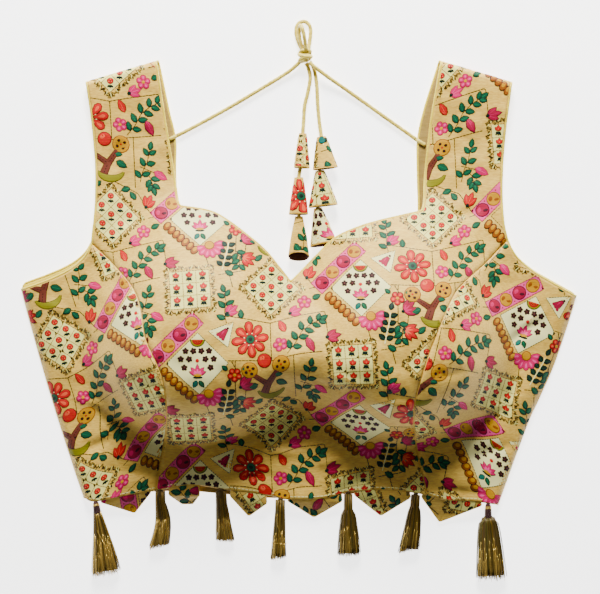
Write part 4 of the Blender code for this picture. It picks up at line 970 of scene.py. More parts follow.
def build_tassel(number, row, look, materials, random):
    """A bound neck, a dark core whose colour is painted shade between the strands, fine strands that fan out below it,
    and bright strands on its upper side as painted glints.
    """
    root_x, head_x, head_y, left_x, left_y, right_x, right_y, depth = row
    bend, neck_radius, fan_power, bound, wound_at, shades, bright = look
    root_y = hem_edge(root_x) - TASSEL_ROOT_GAP + 1.2
    root_z = front_height(np.array(root_x), np.array(root_y)) - FRONT_THICKNESS / 2
    root = np.array((root_x, root_y, float(root_z)))
    head = np.array((head_x, head_y, TASSEL_HEAD_RADIUS + TASSEL_FLOOR_GAP))
    end = np.array(((left_x + right_x) / 2, (left_y + right_y) / 2, depth / 2 + 0.35))
    along, across, up = frame_between(head, end)
    spread = np.array((right_x - left_x, right_y - left_y, 0.0)) / 2
    spread = spread * np.sign(spread @ across) * TASSEL_FLARE
    head = head - along * NECK_RAISES.get(number, 0.0)
    half_width, half_depth = np.hypot(*spread[:2]), depth / 2 - 0.6
    parts = []

    def fanned(near, far, share):
        return near + (far - near) * share ** fan_power

    def strand(u, v, first, reach, thick, slot):
        """One thread; u and v are its place across and through the tassel."""
        t = np.linspace(first, 1.0, STRAND_POINTS)[:, None]
        middle = head + (end - head) * reach * t + across * bend * np.sin(pi * t)
        wide = t ** fan_power
        line = middle + (across * u * neck_radius + up * v * neck_radius * 0.9) * (1 - wide)
        line = line + (spread * u + up * v * half_depth) * wide
        if first == 0.0 and not bound:
            line = np.vstack([root * 0.8 + head * 0.2 + across * u * neck_radius * 0.95 + up * v * 2.2, line])
            t = np.vstack([(0.0,), t])
        line = line + across * np.sin(t * random.uniform(4, 9) + (9.0 * u + 4.0 * v)) * 0.24 * t
        line = line + up * np.sin(t * random.uniform(4, 9)) * 0.18 * t
        line[:, 2] = np.maximum(line[:, 2], STRAND_LOWEST)
        parts.append((*tube(line, np.linspace(thick, thick * STRAND_TAPER, len(line)), 3), slot))

    neck = resample(np.array([root, root * 0.5 + head * 0.5, head + along * 1.5]), 9)
    neck_radii = np.concatenate([[0.8, 1.7, 2.3, 2.6], np.linspace(2.7, neck_radius * 0.96, 6)])
    if not bound:
        neck_radii = neck_radius * np.concatenate([[0.4, 0.5, 0.58, 0.64], np.full(6, 0.68)])
    parts.append((*tube(neck, neck_radii, 16, 0.03, 1.2), MAROON if bound else DARK))
    parts.append((*tube(np.array([root, root + (0.2, 1.0, 0.6), root + (0.0, 2.4, 1.4)]), 0.5, 8), DARK))
    for turn, share in enumerate(np.linspace(0.24, 0.98, 14) if bound else ()):
        radius = float(np.interp(share, np.linspace(0, 1, 10), neck_radii))
        place = root + (head + along * 1.5 - root) * share
        parts.append((*tube(oval_ring(place, across, up, radius, radius), 0.3, 6, closed=True),
                      BRIGHT if turn in (1, 2, 3) else MAROON))
    # The dark core fills the fan of strands; its dark thread is painted shade between them
    share = np.linspace(0.02, 0.93, SHADE_CORE_RINGS)
    core = head + (end - head) * share[:, None] + across * bend * np.sin(pi * share[:, None])
    widths = fanned(neck_radius, half_width, share) * 0.86
    depths = fanned(neck_radius * 0.8, half_depth, share)
    shade_core_rims = [oval_ring(centre, across, up, width, deep * 0.8, SHADE_CORE_SIDES)
            for centre, width, deep in zip(core, widths, depths)]
    parts.append((np.vstack(shade_core_rims), ring_faces(SHADE_CORE_RINGS, SHADE_CORE_SIDES), DARK))
    for _ in range(TASSEL_STRANDS):
        angle = random.uniform(0, 2 * pi)
        radius = sqrt(random.uniform(0.25, 1.0))
        u, v = radius * cos(angle), radius * sin(angle)
        outside = abs(u) > 0.86 and random.uniform(0, 1) < 0.5
        slot = GREY if outside else shades[int(random.integers(len(shades)))]
        strand(u, v, 0.0, 1.0 - 0.05 * radius + random.uniform(-0.045, 0.03), STRAND_RADIUS, slot)
    # Short bright strands over the upper side of the lower part: painted glints
    for _ in range(bright):
        start = random.uniform(0.35, 0.72)
        strand(random.uniform(-0.85, 0.85), random.uniform(0.8, 1.05), start, random.uniform(0.95, 1.02),
               BRIGHT_RADIUS, BRIGHT)
    if wound_at:
        ring = oval_ring(head + (end - head) * wound_at, across, up, fanned(neck_radius, half_width, wound_at) + 0.4,
                         half_depth * wound_at + 0.6)
        parts.append((*tube(ring, 0.28, 6, closed=True), BRIGHT))
    for stray in STRAY_THREADS.get(number, ()):
        path = smooth_path([head + (end - head) * run + across * side + up * (half_depth + rise)
                            for run, side, rise in stray], 18)
        path[:, 2] = np.maximum(path[:, 2], 0.4)
        parts.append((*tube(path, BRIGHT_RADIUS, 5), BRIGHT))
    return add_object(f"tassel_{number}", *merged(parts), materials, "gold_thread", [f"hem_tassel_{number}"], 0.05)


# ------------------------------------------------------ tie and cone tassels

def build_dori(name, material):
    """One length of the satin tube. Returns it and its path."""
    route = DORI_ROUTES[name]
    path = smooth_path(route, max(20, round(path_length(smooth_path(route, 80)) / CORD_STEP)))
    piece = add_object(name + "_cloth", *tube(path, CORD_RADIUS, 14, 0.04, 5.1), 0, [material], "tie_satin", [name],
                       0.03)
    return piece, path


def build_anchor(name, route, material):
    """The sewn end of the tie, flat on the strap's lining."""
    radius = CORD_RADIUS * np.concatenate([[0.55], np.full(13, 0.98), [0.7]])
    return add_object(name, *tube(smooth_path(route, 14), radius, 14, 0.05, 2.1, 0.62), 0, [material], "tie_satin")


def build_knot(material):
    """The bow's knot, wrapped three times round a squat core."""
    centre = np.array(KNOT_CENTRE)
    y = np.linspace(-5.2, 5.2, 13)
    core = centre + np.stack([0.3 * np.sin(y), y, np.zeros_like(y)], axis=1)
    radii = KNOT_RADIUS * np.sqrt(np.maximum(0.04, 1 - (y / KNOT_HALF_LENGTH) ** 2))
    parts = [(*tube(core, radii, 20, 0.04, 3.0, 0.86), 0)]
    angle = np.linspace(0, 2 * pi, 49)[:-1]
    for width, height, shift, turn, tilt, radius in KNOT_WRAPS:
        x, z = width * np.cos(angle), height * np.sin(angle)
        ring = centre + np.stack([x, shift + turn * x + tilt * z * 2, z], axis=1)
        parts.append((*tube(ring, radius, 12, 0.04, 3.3, closed=True), 0))
    return add_object("dori_knot_wraps", *merged(parts), [material], "tie_satin", ["dori_knot"], 0.1)


class Cone:
    """A cone tassel: its outer face for shares down it and turns round it."""

    def __init__(self, row):
        self.name, self.slant = row[0], row[10]
        self.top, self.end = np.array(row[1:4], float), np.array(row[4:7], float)
        self.along, self.across, self.up = frame_between(self.top, self.end)
        top_width, end_width, end_depth = row[7:10]
        self.widths = (top_width / 2, 0.27 * top_width + 0.25 * end_width, end_width / 2)
        self.depths = (max(LATKAN_HOLE_RADIUS + 0.6, top_width / 2 - 0.3), 0.20 * top_width + 0.27 * end_depth,
                       end_depth / 2)
        self.phase = (row[1] * 1.7 + row[2] * 0.31) % 6.28
        self.length = float(np.linalg.norm(self.end - self.top))
        self.radius = (top_width + end_width) / 4

    def at(self, share, angle, shrink=0.0):
        share, angle = np.broadcast_arrays(np.asarray(share, float), np.asarray(angle, float))
        width, depth = (np.interp(share, (0.0, 0.5, 1.0), sizes) for sizes in (self.widths, self.depths))
        fold = 1 + 0.05 * share * np.sin(3 * angle + self.phase) + 0.03 * np.sin(5 * angle + 2 * self.phase)
        fold = fold - 0.10 * np.exp(-((np.mod(angle - self.phase, 2 * pi) - pi) / 0.12) ** 2) * share
        width, depth = (width - shrink) * fold, (depth - shrink) * fold
        run = (self.end - self.top) * share[..., None]
        run = run + self.along * (self.slant * 0.5 * (1 - np.sin(angle)) * smooth_step(0.5, 1.0, share))[..., None]
        return (self.top + run + self.across * (width * np.cos(angle))[..., None]
                + self.up * (depth * np.sin(angle))[..., None])

    def build(self, materials):
        """An open cone of printed cloth with a dark lining."""
        angle = np.arange(LATKAN_SIDES) * 2 * pi / LATKAN_SIDES
        rings = [self.at(share, angle) for share in np.linspace(0.0, 1.0, LATKAN_RINGS)]
        rings.append(self.at(1.012, angle, 0.45))
        rings += [self.at(share, angle, LATKAN_WALL) for share in np.linspace(1.0, 0.22, 12)]
        rings += [oval_ring(self.top + (self.end - self.top) * share, self.across, self.up, LATKAN_HOLE_RADIUS,
                            LATKAN_HOLE_RADIUS, LATKAN_SIDES) for share in (0.1, 0.0)]
        slots = np.ones((len(rings), LATKAN_SIDES))
        slots[:LATKAN_RINGS] = slots[-1] = 0
        return add_object(self.name + "_cone", np.vstack(rings), ring_faces(len(rings), LATKAN_SIDES, True),
                          slots.ravel(), materials, "printed_silk", [self.name], 0.05, sharp=55)

    def lay(self, flat):
        """Points and directions for flat points wound round the cone."""
        angle, share = flat[:, 0] / self.radius + pi / 2, -flat[:, 1] / self.length
        points = self.at(share, angle)
        normals = unit(np.cross(self.at(share, angle + 0.01) - self.at(share, angle - 0.01),
                                self.at(share + 0.01, angle) - self.at(share - 0.01, angle)))
        axis = self.top + (self.end - self.top) * share[:, None]
        outward = ((points - axis) * normals).sum(axis=1)
        normals = normals * np.where(outward < 0, -1.0, 1.0)[:, None]
        points[:, 2] = np.maximum(points[:, 2], 0.05 + 0.2 * (normals[:, 2] < -0.5))
        return points, normals

    def outline(self):
        """The printed part of the cone, laid flat."""
        half = pi * self.radius
        low, high = -self.length * 0.97, -self.length * 0.05
        return np.array(((-half, low), (half, low), (half, high), (-half, high)))


# --------------------------------------------------------------------- hooks

def build_hook(number, y, materials):
    """A flat wire hook sewn to one half, and its worked thread bar on the other."""
    place = (0.0, y, BACK_THICKNESS + BACK_RAISE + 0.55)
    half = ((-4.2, -1.1, 0), (-4.9, 0, 0), (-4.2, 1.1, 0), (-3, 1, 0), (-1.2, 0.75, 0), (1.4, 0.62, 0.25),
            (2.6, 0.35, 0.5), (2.9, 0, 0.6))
    wire_path = half + tuple((x, -side, z) for x, side, z in half[-2:1:-1])
    parts = [(*tube(smooth_path(np.array(wire_path) + place, 44), 0.34, 8), 0)]
    for lift, shift in ((0.0, -0.16), (0.1, 0.16)):
        bar = np.array(((2.3, -1.7, -0.3), (2.5 + shift, -0.9, 0.05 + lift), (2.5 + shift, 0.9, 0.05 + lift),
                        (2.3, 1.7, -0.3)))
        parts.append((*tube(smooth_path(bar + place, 14), 0.24, 6, 0.12, 0.8), 1))
    for x in (-4.3, -3.2):
        for side in (-1.3, 1.3):
            stitch = np.array(((x, side * 0.55, 0.1), (x, side * 0.9, 0.42), (x, side * 1.35, -0.3)))
            parts.append((*tube(smooth_path(stitch + place, 8), 0.16, 6), 1))
    return add_object(f"hook_{number}", *merged(parts), materials, "hook_metal", [f"back_hook_{number}"])


# -------------------------------------------------------------- flower print

# The print's colours, and the sizes of one repeat of its half-drop layout
PRINT_COLOURS = {
    "cream": "EFE680", "white": "F4EEA2", "gold": "866B28", "bronze": "33270B", "brown": "2C0E0A",
    "bark": "6A3020", "coral": "BE1610", "coral_dark": "5C0A08", "coral_light": "E65A34", "red": "A00C08",
    "magenta": "9E0836", "magenta_dark": "46061C", "pink": "CA145C", "pink_light": "E6508C", "yellow": "C48C00",
    "amber": "8E4C04", "orange": "BC3008", "green": "064C30", "green_dark": "021D11", "green_light": "10784A",
    "teal": "08645A", "olive": "807C0A", "olive_dark": "464410",
}
REPEAT_WIDTH = 136
REPEAT_HEIGHT = 128
LATTICE_PITCH = 11
LATTICE_LINE = 0.5
# Turns of a bloom's five petals, in degrees
FIFTHS = range(0, 360, 72)
# How far a motif's dark edge shows round it
EDGE = 0.7
# A sprig's leaves: share of the stem, side, length, angle from the stem
FULL_SPRIG = (
    (0.1, 1, 7.4, 52), (0.16, -1, 7, 50), (0.32, 1, 8, 54), (0.38, -1, 7.6, 50), (0.55, 1, 7.8, 50),
    (0.6, -1, 7.6, 52), (0.76, 1, 7.2, 48), (0.8, -1, 7, 50), (0.93, 1, 6.6, 42), (0.95, -1, 6.4, 42),
    (0.995, 1, 6.8, 2),
)
SHORT_SPRIG = (
    (0.12, 1, 7.2, 52), (0.2, -1, 7, 54), (0.48, 1, 7.4, 50), (0.56, -1, 7.2, 50), (0.82, 1, 6.6, 46),
    (0.86, -1, 6.4, 46), (0.99, 1, 6.8, 0),
)
# Straight lines that part the ground into uneven patches
SEAM_LINES = (
    ((-1, 31), (8, 34)), ((-70, 6), (-33.5, 0), (-32, -32), (-70, -31)), ((-33.5, 0), (12, 11), (15, -15)),
    ((-32, -32), (12, -24)), ((-14, -29), (-12, -73)), ((-62, -31), (-64, -73), (-38, -70)), ((46, 2), (50, -14)),
    ((58, -22), (78, -18), (82, 12), (70, 34)), ((60, -46), (76, -50)), ((-66, 31), (-71, 50)),
    ((-33, 62), (-10, 52), (2, 34)), ((13, -60), (-11, -52)),
)
CORAL = ("coral", "coral_dark", "coral_light")
MAGENTA = ("magenta", "magenta_dark", "pink")
PINK = ("pink", "magenta", "pink_light")


def turned(points, turn, x=0.0, y=0.0):
    """Flat points turned about the origin by radians, then moved."""
    points = np.asarray(points, float)
    return np.stack([points[..., 0] * cos(turn) - points[..., 1] * sin(turn) + x,
                     points[..., 0] * sin(turn) + points[..., 1] * cos(turn) + y], axis=-1)


def polar(x, y, reach, way):
    """The point at a distance from x, y in the way given in degrees."""
    return turned((reach, 0.0), radians(way), x, y)


def placed(shapes, x, y, turn=0.0, scale=1.0):
    return [(turned(points * scale, turn, x, y), colour, layer) for points, colour, layer in shapes]


def oval(x, y, width, height, turn=0.0, sides=10):
    angle = np.arange(sides) * 2 * pi / sides
    return turned(np.stack([np.cos(angle) * width / 2, np.sin(angle) * height / 2], axis=1), turn, x, y)


def leaf(x, y, length, width, way):
    """A pointed leaf that starts at x, y and points in a way given in degrees."""
    t = np.array((0.16, 0.45, 0.78)) * length
    half = width / 2 * np.array((0.68, 1.0, 0.62))
    lower, upper = np.stack([t, -half], axis=1), np.stack([t, half], axis=1)
    return turned(np.vstack([[(0.0, 0.0)], lower, [(length, 0.0)], upper[::-1]]), radians(way), x, y)


def petal(x, y, length, width, way):
    """A rounded petal that starts narrow at x, y."""
    t = np.array((0.0, 0.35, 0.68, 0.92)) * length
    half = width / 2 * np.array((0.18, 0.74, 1.0, 0.62))
    lower, upper = np.stack([t, -half], axis=1), np.stack([t, half], axis=1)
    return turned(np.vstack([lower, [(length, 0.0)], upper[::-1]]), radians(way), x, y)


def strip(start, end, width, end_width=None):
    start, end = np.asarray(start, float), np.asarray(end, float)
    end_width = width if end_width is None else end_width
    side = np.array((-(end - start)[1], (end - start)[0])) / np.hypot(*(end - start))
    return np.array((start - side * width / 2, end - side * end_width / 2,
                     end + side * end_width / 2, start + side * width / 2))


def rectangle(x, y, width, height, turn=0.0):
    return turned(np.array(((-1, -1), (1, -1), (1, 1), (-1, 1))) * (width / 2, height / 2), turn, x, y)


def dashes(points, colour, layer=2, length=2.0, gap=0.9, width=0.5):
    """Stitches along a flat path."""
    points = np.asarray(points, float)
    return [(strip(*at_runs(points, number * (length + gap) + np.array((0.0, length))), width), colour, layer)
            for number in range(max(1, int(runs_of(points)[-1] / (length + gap))))]


def draw_leaf(x, y, length, width, way, fill="green", edge="green_dark", vein="green_light"):
    foot, run = polar(x, y, -EDGE, way), polar(0.0, 0.0, length, way)
    return [(leaf(*foot, length + 2 * EDGE, width + 2 * EDGE, way), edge, 1),
            (leaf(x, y, length, width, way), fill, 2),
            (strip(run * 0.12 + (x, y), run * 0.8 + (x, y), 0.5, 0.25), vein, 3)]


def draw_petal(x, y, length, width, way, fill, edge, light):
    foot, middle = polar(x, y, -EDGE, way), polar(0.0, 0.0, length, way) * 0.3 + (x, y)
    return [(petal(*foot, length + 2 * EDGE, width + 2 * EDGE, way), edge, 1),
            (petal(x, y, length, width, way), fill, 2),
            (petal(*middle, length * 0.52, width * 0.42, way), light, 3)]


def ball(x, y, size, fill, edge, light):
    return [(oval(x, y, size + 2 * EDGE, size + 2 * EDGE, 0.0, 14), edge, 1),
            (oval(x, y, size, size, 0.0, 14), fill, 2),
            (oval(x - size * 0.16, y + size * 0.18, size * 0.42, size * 0.32, 0.6, 10), light, 3)]


def rosette():
    """A small round bloom over three dark leaves."""
    shapes = [(oval(0.0, 2.0, 6.4, 6.0, 0.0, 12), "coral_dark", 1), (oval(0.0, 2.0, 5.2, 4.9, 0.0, 12), "coral", 2)]
    shapes += [(oval(*polar(0.0, 2.0, 1.35, way), 1.9, 1.1, radians(way), 8), "coral_light", 3)
               for way in (90, 210, 330)]
    shapes += [(oval(0.0, 2.0, 1.3, 1.3, 0.0, 8), "coral_dark", 4),
               (strip((0.0, -1.2), (0.0, -3.4), 0.7), "green_dark", 1)]
    return shapes + [(leaf(0.0, -2.3, length, 2.2, way), "green_dark", 2)
                     for way, length in ((-90, 2.6), (-25, 3.4), (205, 3.4))]


def tulip():
    """A small upright bloom with three points over a dark leafy foot."""
    shapes = []
    for way, length, width in ((128, 4.4, 2.9), (52, 4.4, 2.9), (90, 5.2, 3.4)):
        shapes += [(leaf(0.0, -0.1, length + 0.7, width + 0.7, way), "coral_dark", 1),
                   (leaf(0.0, 0.2, length, width - 0.3, way), "coral", 2)]
    shapes += [(oval(0.0, 1.7, 1.0, 2.0, 0.0, 8), "coral_light", 3),
               (strip((0.0, 0.0), (0.0, -4.4), 0.9), "green_dark", 2)]
    return shapes + [(leaf(0.0, -1.6, length, 2.1, way), "green_dark", 2)
                     for way, length in ((-35, 3.6), (215, 3.6), (10, 2.6), (170, 2.6))]


def squiggle(start, end, inner, outer, seed):
    """A band of uneven gold loops along a line, between two distances from it."""
    run = end - start
    length = np.hypot(*run)
    along, side = run / length, np.array((run[1], -run[0])) / length
    shapes = []
    for layer, pitch, width, shades in ((1, 1.15, 0.8, ("bronze", "gold", "bronze")),
                                        (2, 1.5, 0.6, ("gold", "gold", "cream", "bronze"))):
        count = int(length / pitch)
        points = []
        for number in range(count + 1):
            wobble = sin(number * 2.3 + seed + layer) * 0.6 + sin(number * 0.9 + seed * 2) * 0.5
            middle = inner + (outer - inner) * (0.5 + 0.16 * sin(number * 0.7 + seed + 2 * layer))
            half = (outer - inner) * (0.26 + 0.12 * sin(number * 1.3 + seed * 3 + layer))
            reach = middle + (half if number % 2 else -half)
            points.append(start + along * (length * number / count + wobble * 0.8) + side * reach)
        shapes += [(strip(points[number], points[number + 1], width), shades[(number + seed) % len(shades)], layer)
                   for number in range(count)]
    return shapes


def lattice(turn, bloom):
    """Nine framed cells of upright blooms, with a squiggled border."""
    shapes = []
    pitch, half = LATTICE_PITCH, 1.5 * LATTICE_PITCH
    for row in (-1, 0, 1):
        for column in (-1, 0, 1):
            x, y = turned((column * pitch, row * pitch), turn)
            shapes.append((rectangle(x, y, pitch - LATTICE_LINE, pitch - LATTICE_LINE, turn), "cream", 0))
            shapes += placed(bloom(), x, y, 0.0, 0.9)
    for line in (-0.5 * pitch, 0.5 * pitch):
        for ends in (((line, -half), (line, half)), ((-half, line), (half, line))):
            shapes += dashes(turned(ends, turn), "gold", 1, 1.6, 0.7, 0.5)
    corners = turned(((-half, -half), (half, -half), (half, half), (-half, half), (-half, -half)), turn)
    for number, (start, end) in enumerate(zip(corners, corners[1:]), 1):
        past = (end - start) / np.hypot(*(end - start)) * 3.6
        shapes += dashes([start, end], "bronze", 1, 1.8, 0.6, 0.5)
        shapes += squiggle(start - past, end + past, 0.2, 5.4, number)
    return shapes


def wheel_flower():
    """A coral flower of eight petals."""
    shapes = []
    for number in range(8):
        way = number * 45 + 8
        shapes += draw_petal(*polar(0.0, 0.0, 3.2, way), 11.8 if number % 2 else 12.8, 7.0, way, *CORAL)
    shapes += [(oval(*polar(0.0, 0.0, 5.4, number * 45 + 30.5), 1.3, 1.0, 0.0, 7), "white", 3)
               for number in range(8)]
    return shapes + [(oval(0.0, 0.0, size, size, 0.0, corners), colour, layer) for size, corners, colour, layer in (
        (8.6, 14, "coral_dark", 3), (7.4, 14, "green", 4), (3.6, 10, "green_dark", 5))]


def sprig(leaves, stem, buds=()):
    """Leaves along a stem: share of the stem, side, length and angle from the stem."""
    stem = np.array(stem, float)
    shapes = dashes(stem, "bronze", 1, 2.4, 0.25, 0.6)
    for share, side, length, spread in leaves:
        spot, ahead, before = at_runs(stem, share * runs_of(stem)[-1] + np.array((0.0, 1.0, -1.0)))
        way = degrees(atan2(ahead[1] - before[1], ahead[0] - before[0])) + side * spread
        shapes += draw_leaf(*polar(*spot, 0.9, way), length, length * 0.58, way)
    for x, y, length, way, (fill, edge, light) in buds:
        shapes += draw_leaf(x, y, length, length * 0.52, way, fill, edge, light)
        shapes += draw_leaf(x, y, length * 0.62, length * 0.2, way + 14, light, fill, fill)
    return shapes


def fruit_band():
    """A pink strip of four round fruits, along +x."""
    shapes = [(rectangle(0.0, 0.0, 53.0, 13.6), "pink_light", 0)]
    corners = [(x, y) for y in (-6.8, 6.8) for x in (-26.5, 26.5)]
    for start, end in ((0, 1), (2, 3), (0, 2), (1, 3)):
        shapes += dashes([corners[start], corners[end]], "magenta", 1, 2.2, 0.4, 0.7)
    for number, x in enumerate((-19.4, -6.6, 6.6, 19.4)):
        fill, edge, light = (MAGENTA, ("yellow", "amber", "amber"))[number % 2]
        shapes += ball(x, 0.2, 10.8, fill, edge, light) + [(oval(x + 1.6, -1.9, 4.4, 2.6, -0.5, 9), edge, 3)]
        shapes += [(oval(x + 6.4, dot, 1.3, 1.3, 0.0, 7), "magenta", 2) for dot in (-4.4, 4.4)]
    return shapes


def floret(x, y, way):
    return [(oval(*polar(x, y, 1.75, way + turn), 2.7, 2.5, radians(way + turn), 8), "brown", 2)
            for turn in FIFTHS] + [(oval(x, y, 2.9, 2.9, 0.0, 8), "brown", 3),
                                              (oval(x, y, 1.1, 1.1, 0.0, 7), "bark", 4)]


def small_bloom(x, y, way, colours):
    """A bloom of five petals."""
    shapes = []
    for turn in FIFTHS:
        shapes += draw_petal(*polar(x, y, 1.0, way + turn), 4.6, 4.2, way + turn, *colours)
    return shapes + [(oval(x, y, 2.8, 2.8, 0.0, 8), "yellow", 4)]


def lily(x, y, length, way, colours):
    """A side view of a flower: three pointed petals and a green foot."""
    shapes = []
    for lean, share in ((-30.0, 0.82), (30.0, 0.82), (0.0, 1.0)):
        shapes += draw_leaf(x, y, length * share, length * 0.4, way + lean, *colours)
    return shapes + [(oval(x, y, 3.6, 3.0, radians(way), 8), "green_dark", 4)]


def half_melon(x, y, size):
    """A red half round with a green rind and dark seeds, flat side up."""
    angle = np.linspace(pi, 2 * pi, 11)
    half = np.stack([np.cos(angle), np.sin(angle)], axis=1)
    shapes = [(half * reach + (x, y + rise), colour, layer) for reach, rise, colour, layer in (
        (size / 2 + 0.9, 0.0, "green_dark", 1), (size / 2 + 0.2, 0.0, "olive", 2), (size / 2 - 1.0, 0.1, "red", 3),
        (size * 0.3, 0.1, "orange", 4))]
    return shapes + [(oval(x + size * 0.32 * seed, y - size * 0.2 + abs(seed) * 1.4, 0.7, 1.4, 0.0, 6), "brown", 5)
                     for seed in (-0.55, -0.2, 0.2, 0.55)]


def lotus(x, y):
    shapes = []
    for way, length in ((20, 7.6), (160, 7.6), (48, 8.4), (132, 8.4), (90, 9.0)):
        shapes += [(leaf(x, y - 0.3, length + 0.8, 4.5, way), "magenta_dark", 1),
                   (leaf(x, y, length, 3.7, way), "pink", 2), (leaf(x, y, length * 0.55, 2.0, way), "pink_light", 3)]
    return shapes + [(oval(x, y - 0.6, 7.0, 3.0, 0.0, 10), "yellow", 3),
                     (oval(x, y - 2.6, 9.0, 2.2, 0.0, 10), "green_dark", 2)]


def floret_patch():
    """A cream diamond with a pyramid of brown florets over a lotus."""
    side = 39.0
    shapes = [(rectangle(0.0, 0.0, side, side, pi / 4), "white", 0)]
    corners = rectangle(0.0, 0.0, side, side, pi / 4)
    shapes += dashes(np.vstack([corners, corners[:1]]), "bronze", 1, 2.0, 0.6, 0.55)
    for y, row in ((11.4, (-10.4, -3.5, 3.5, 10.4)), (4.2, (-14.6, -7.2, 7.2, 14.6)), (-3.4, (-11.6, 11.6))):
        for number, x in enumerate(row):
            shapes += floret(x, y, 90 + 24 * number)
    shapes += half_melon(0.0, 21.4, 11.6) + lotus(0.0, -9.4)
    shapes += draw_leaf(-1.2, -15.4, 6.4, 3.6, 238, "teal") + draw_leaf(1.2, -15.4, 6.4, 3.6, -58)
    return shapes + [(oval(0.0, 2.8, 3.4, 3.4, 0.0, 9), "coral", 2)]


def scallops(count):
    """A row of overlapping amber ovals, along +x."""
    shapes = []
    for number in range(count):
        x = (number - (count - 1) / 2) * 5.4
        shapes += [(oval(x, 0.0, 6.6, 9.4, 0.18, 12), "brown", 1), (oval(x, 0.0, 5.2, 8.0, 0.18, 12), "amber", 2),
                   (oval(x - 0.5, 0.9, 3.0, 4.8, 0.18, 10), "yellow", 3)]
    return shapes


def fruit_branch():
    """A forked branch with spotted yellow fruits, a coral one and a crescent pod."""
    shapes = []
    for start, end, wide, narrow in (((-3.0, -12.0), (1.0, -2.0), 6.2, 5.2), ((1.0, -2.6), (9.0, 9.0), 5.0, 3.4),
                                     ((0.4, -3.0), (-11.0, 5.0), 4.6, 3.0)):
        shapes += [(strip(start, end, wide + 1.0, narrow + 1.0), "brown", 1),
                   (strip(start, end, wide, narrow), "bark", 2)]
        start, end = np.array(start), np.array(end)
        shapes += dashes([start * 0.9 + end * 0.1, start * 0.1 + end * 0.9], "brown", 3, 1.6, 1.0, 0.6)
    for x, y, size in ((11.6, 13.6, 13.6), (-14.6, 9.4, 12.6)):
        shapes += ball(x, y, size, "yellow", "amber", "yellow")
        shapes += [(oval(*turned((size * 0.26, 0.0), dot * pi / 2 + 0.5, x, y), 2.8, 2.5, dot, 8), "brown", 4)
                   for dot in range(4)]
        shapes.append((oval(x, y, 1.9, 1.9, 0.0, 8), "orange", 4))
    shapes += ball(-2.2, 17.4, 11.0, *CORAL)
    shapes += [(oval(*polar(-2.2, 17.4, 3.4, way), 1.8, 1.2, radians(way), 7), "orange", 4)
               for way in range(0, 360, 60)]
    for x, y, length, way in ((8.0, -1.0, 9.6, -28.0), (-8.6, -3.0, 9.0, 205.0), (5.6, 5.6, 7.0, -6.0)):
        shapes += draw_leaf(x, y, length, length * 0.58, way)
    angle = np.linspace(radians(200), radians(338), 10)
    width = 5.0 * np.sin(np.linspace(0.12, pi - 0.12, 10)) + 0.5
    for colour, layer, extra in (("olive_dark", 1, 1.0), ("olive", 2, 0.0)):
        low, high = (np.stack([np.cos(angle) * (12.0 + side * (width + extra) / 2) + 3.0,
                               np.sin(angle) * (10.0 + side * (width + extra) / 2) - 6.0], axis=1) for side in (-1, 1))
        shapes += [(np.array(corners), colour, layer) for corners in zip(low, high, high[1:], low[1:])]
    return shapes


def fan_group():
    """A half-fan flower, a dark fern with a white stem, and two lilies."""
    shapes = []
    for way in range(188, 363, 29):
        shapes += draw_petal(*polar(-12.0, 12.0, 3.4, way), 9.4, 5.0, way, *PINK)
    shapes += [(oval(-12.0, 12.0, 9.0, 9.0, 0.0, 12), "amber", 3), (oval(-12.0, 12.0, 7.4, 7.4, 0.0, 12), "yellow", 4)]
    fern = ("green_dark", "green_dark", "green")
    stem = np.array(((-6.0, -14.0), (-2.0, -5.0), (3.0, 5.0), (6.0, 14.0)))
    shapes += dashes(stem, "white", 2, 2.6, 0.2, 0.9)
    for share in (0.14, 0.36, 0.58, 0.8):
        x, y = stem[0] + (stem[-1] - stem[0]) * share
        for side in (-1, 1):
            shapes += draw_leaf(x + side * 0.9, y, 6.4, 4.2, 66 - side * 58, *fern)
    shapes += draw_leaf(6.2, 14.4, 6.4, 4.0, 62, *fern)
    for x, y, face, (fill, edge, light) in ((14.0, -5.0, -32.0, CORAL), (17.0, 11.0, 14.0, MAGENTA)):
        for way, length in ((face - 42, 10.6), (face + 42, 10.6), (face - 16, 12.8), (face + 16, 12.8)):
            shapes += [(leaf(x, y, length + 1.2, 6.0, way), edge, 1), (leaf(x, y, length, 4.6, way), fill, 2),
                       (leaf(x, y, length * 0.6, 1.5, way), light, 3)]
        shapes.append((oval(x, y, 4.4, 3.4, radians(face), 9), "green_dark", 3))
    return shapes


def bell_patch():
    """A small cream triangle with a magenta bell."""
    corners = np.array(((-12.0, -6.4), (12.0, -6.4), (0.0, 14.6)))
    shapes = [(corners, "white", 0)] + dashes(np.vstack([corners, corners[:1]]), "bronze", 1, 2.0, 0.6, 0.5)
    shapes += [(np.array(((-wide, low), (wide, low), (narrow, high), (-narrow, high))), colour, layer)
               for wide, low, narrow, high, colour, layer in ((4.6, -3.4, 1.8, 5.6, "magenta_dark", 1),
                                                              (3.9, -2.9, 1.3, 5.0, "magenta", 2))]
    shapes += [(oval(x, -3.4, 3.4, 2.4, 0.0, 8), "magenta", 3) for x in (-3.2, 0.0, 3.2)]
    return shapes + [(oval(0.0, 6.6, 2.6, 2.2, 0.0, 8), "magenta_dark", 2),
                     (oval(-0.8, 0.8, 0.9, 4.4, 0.1, 8), "pink", 3)]


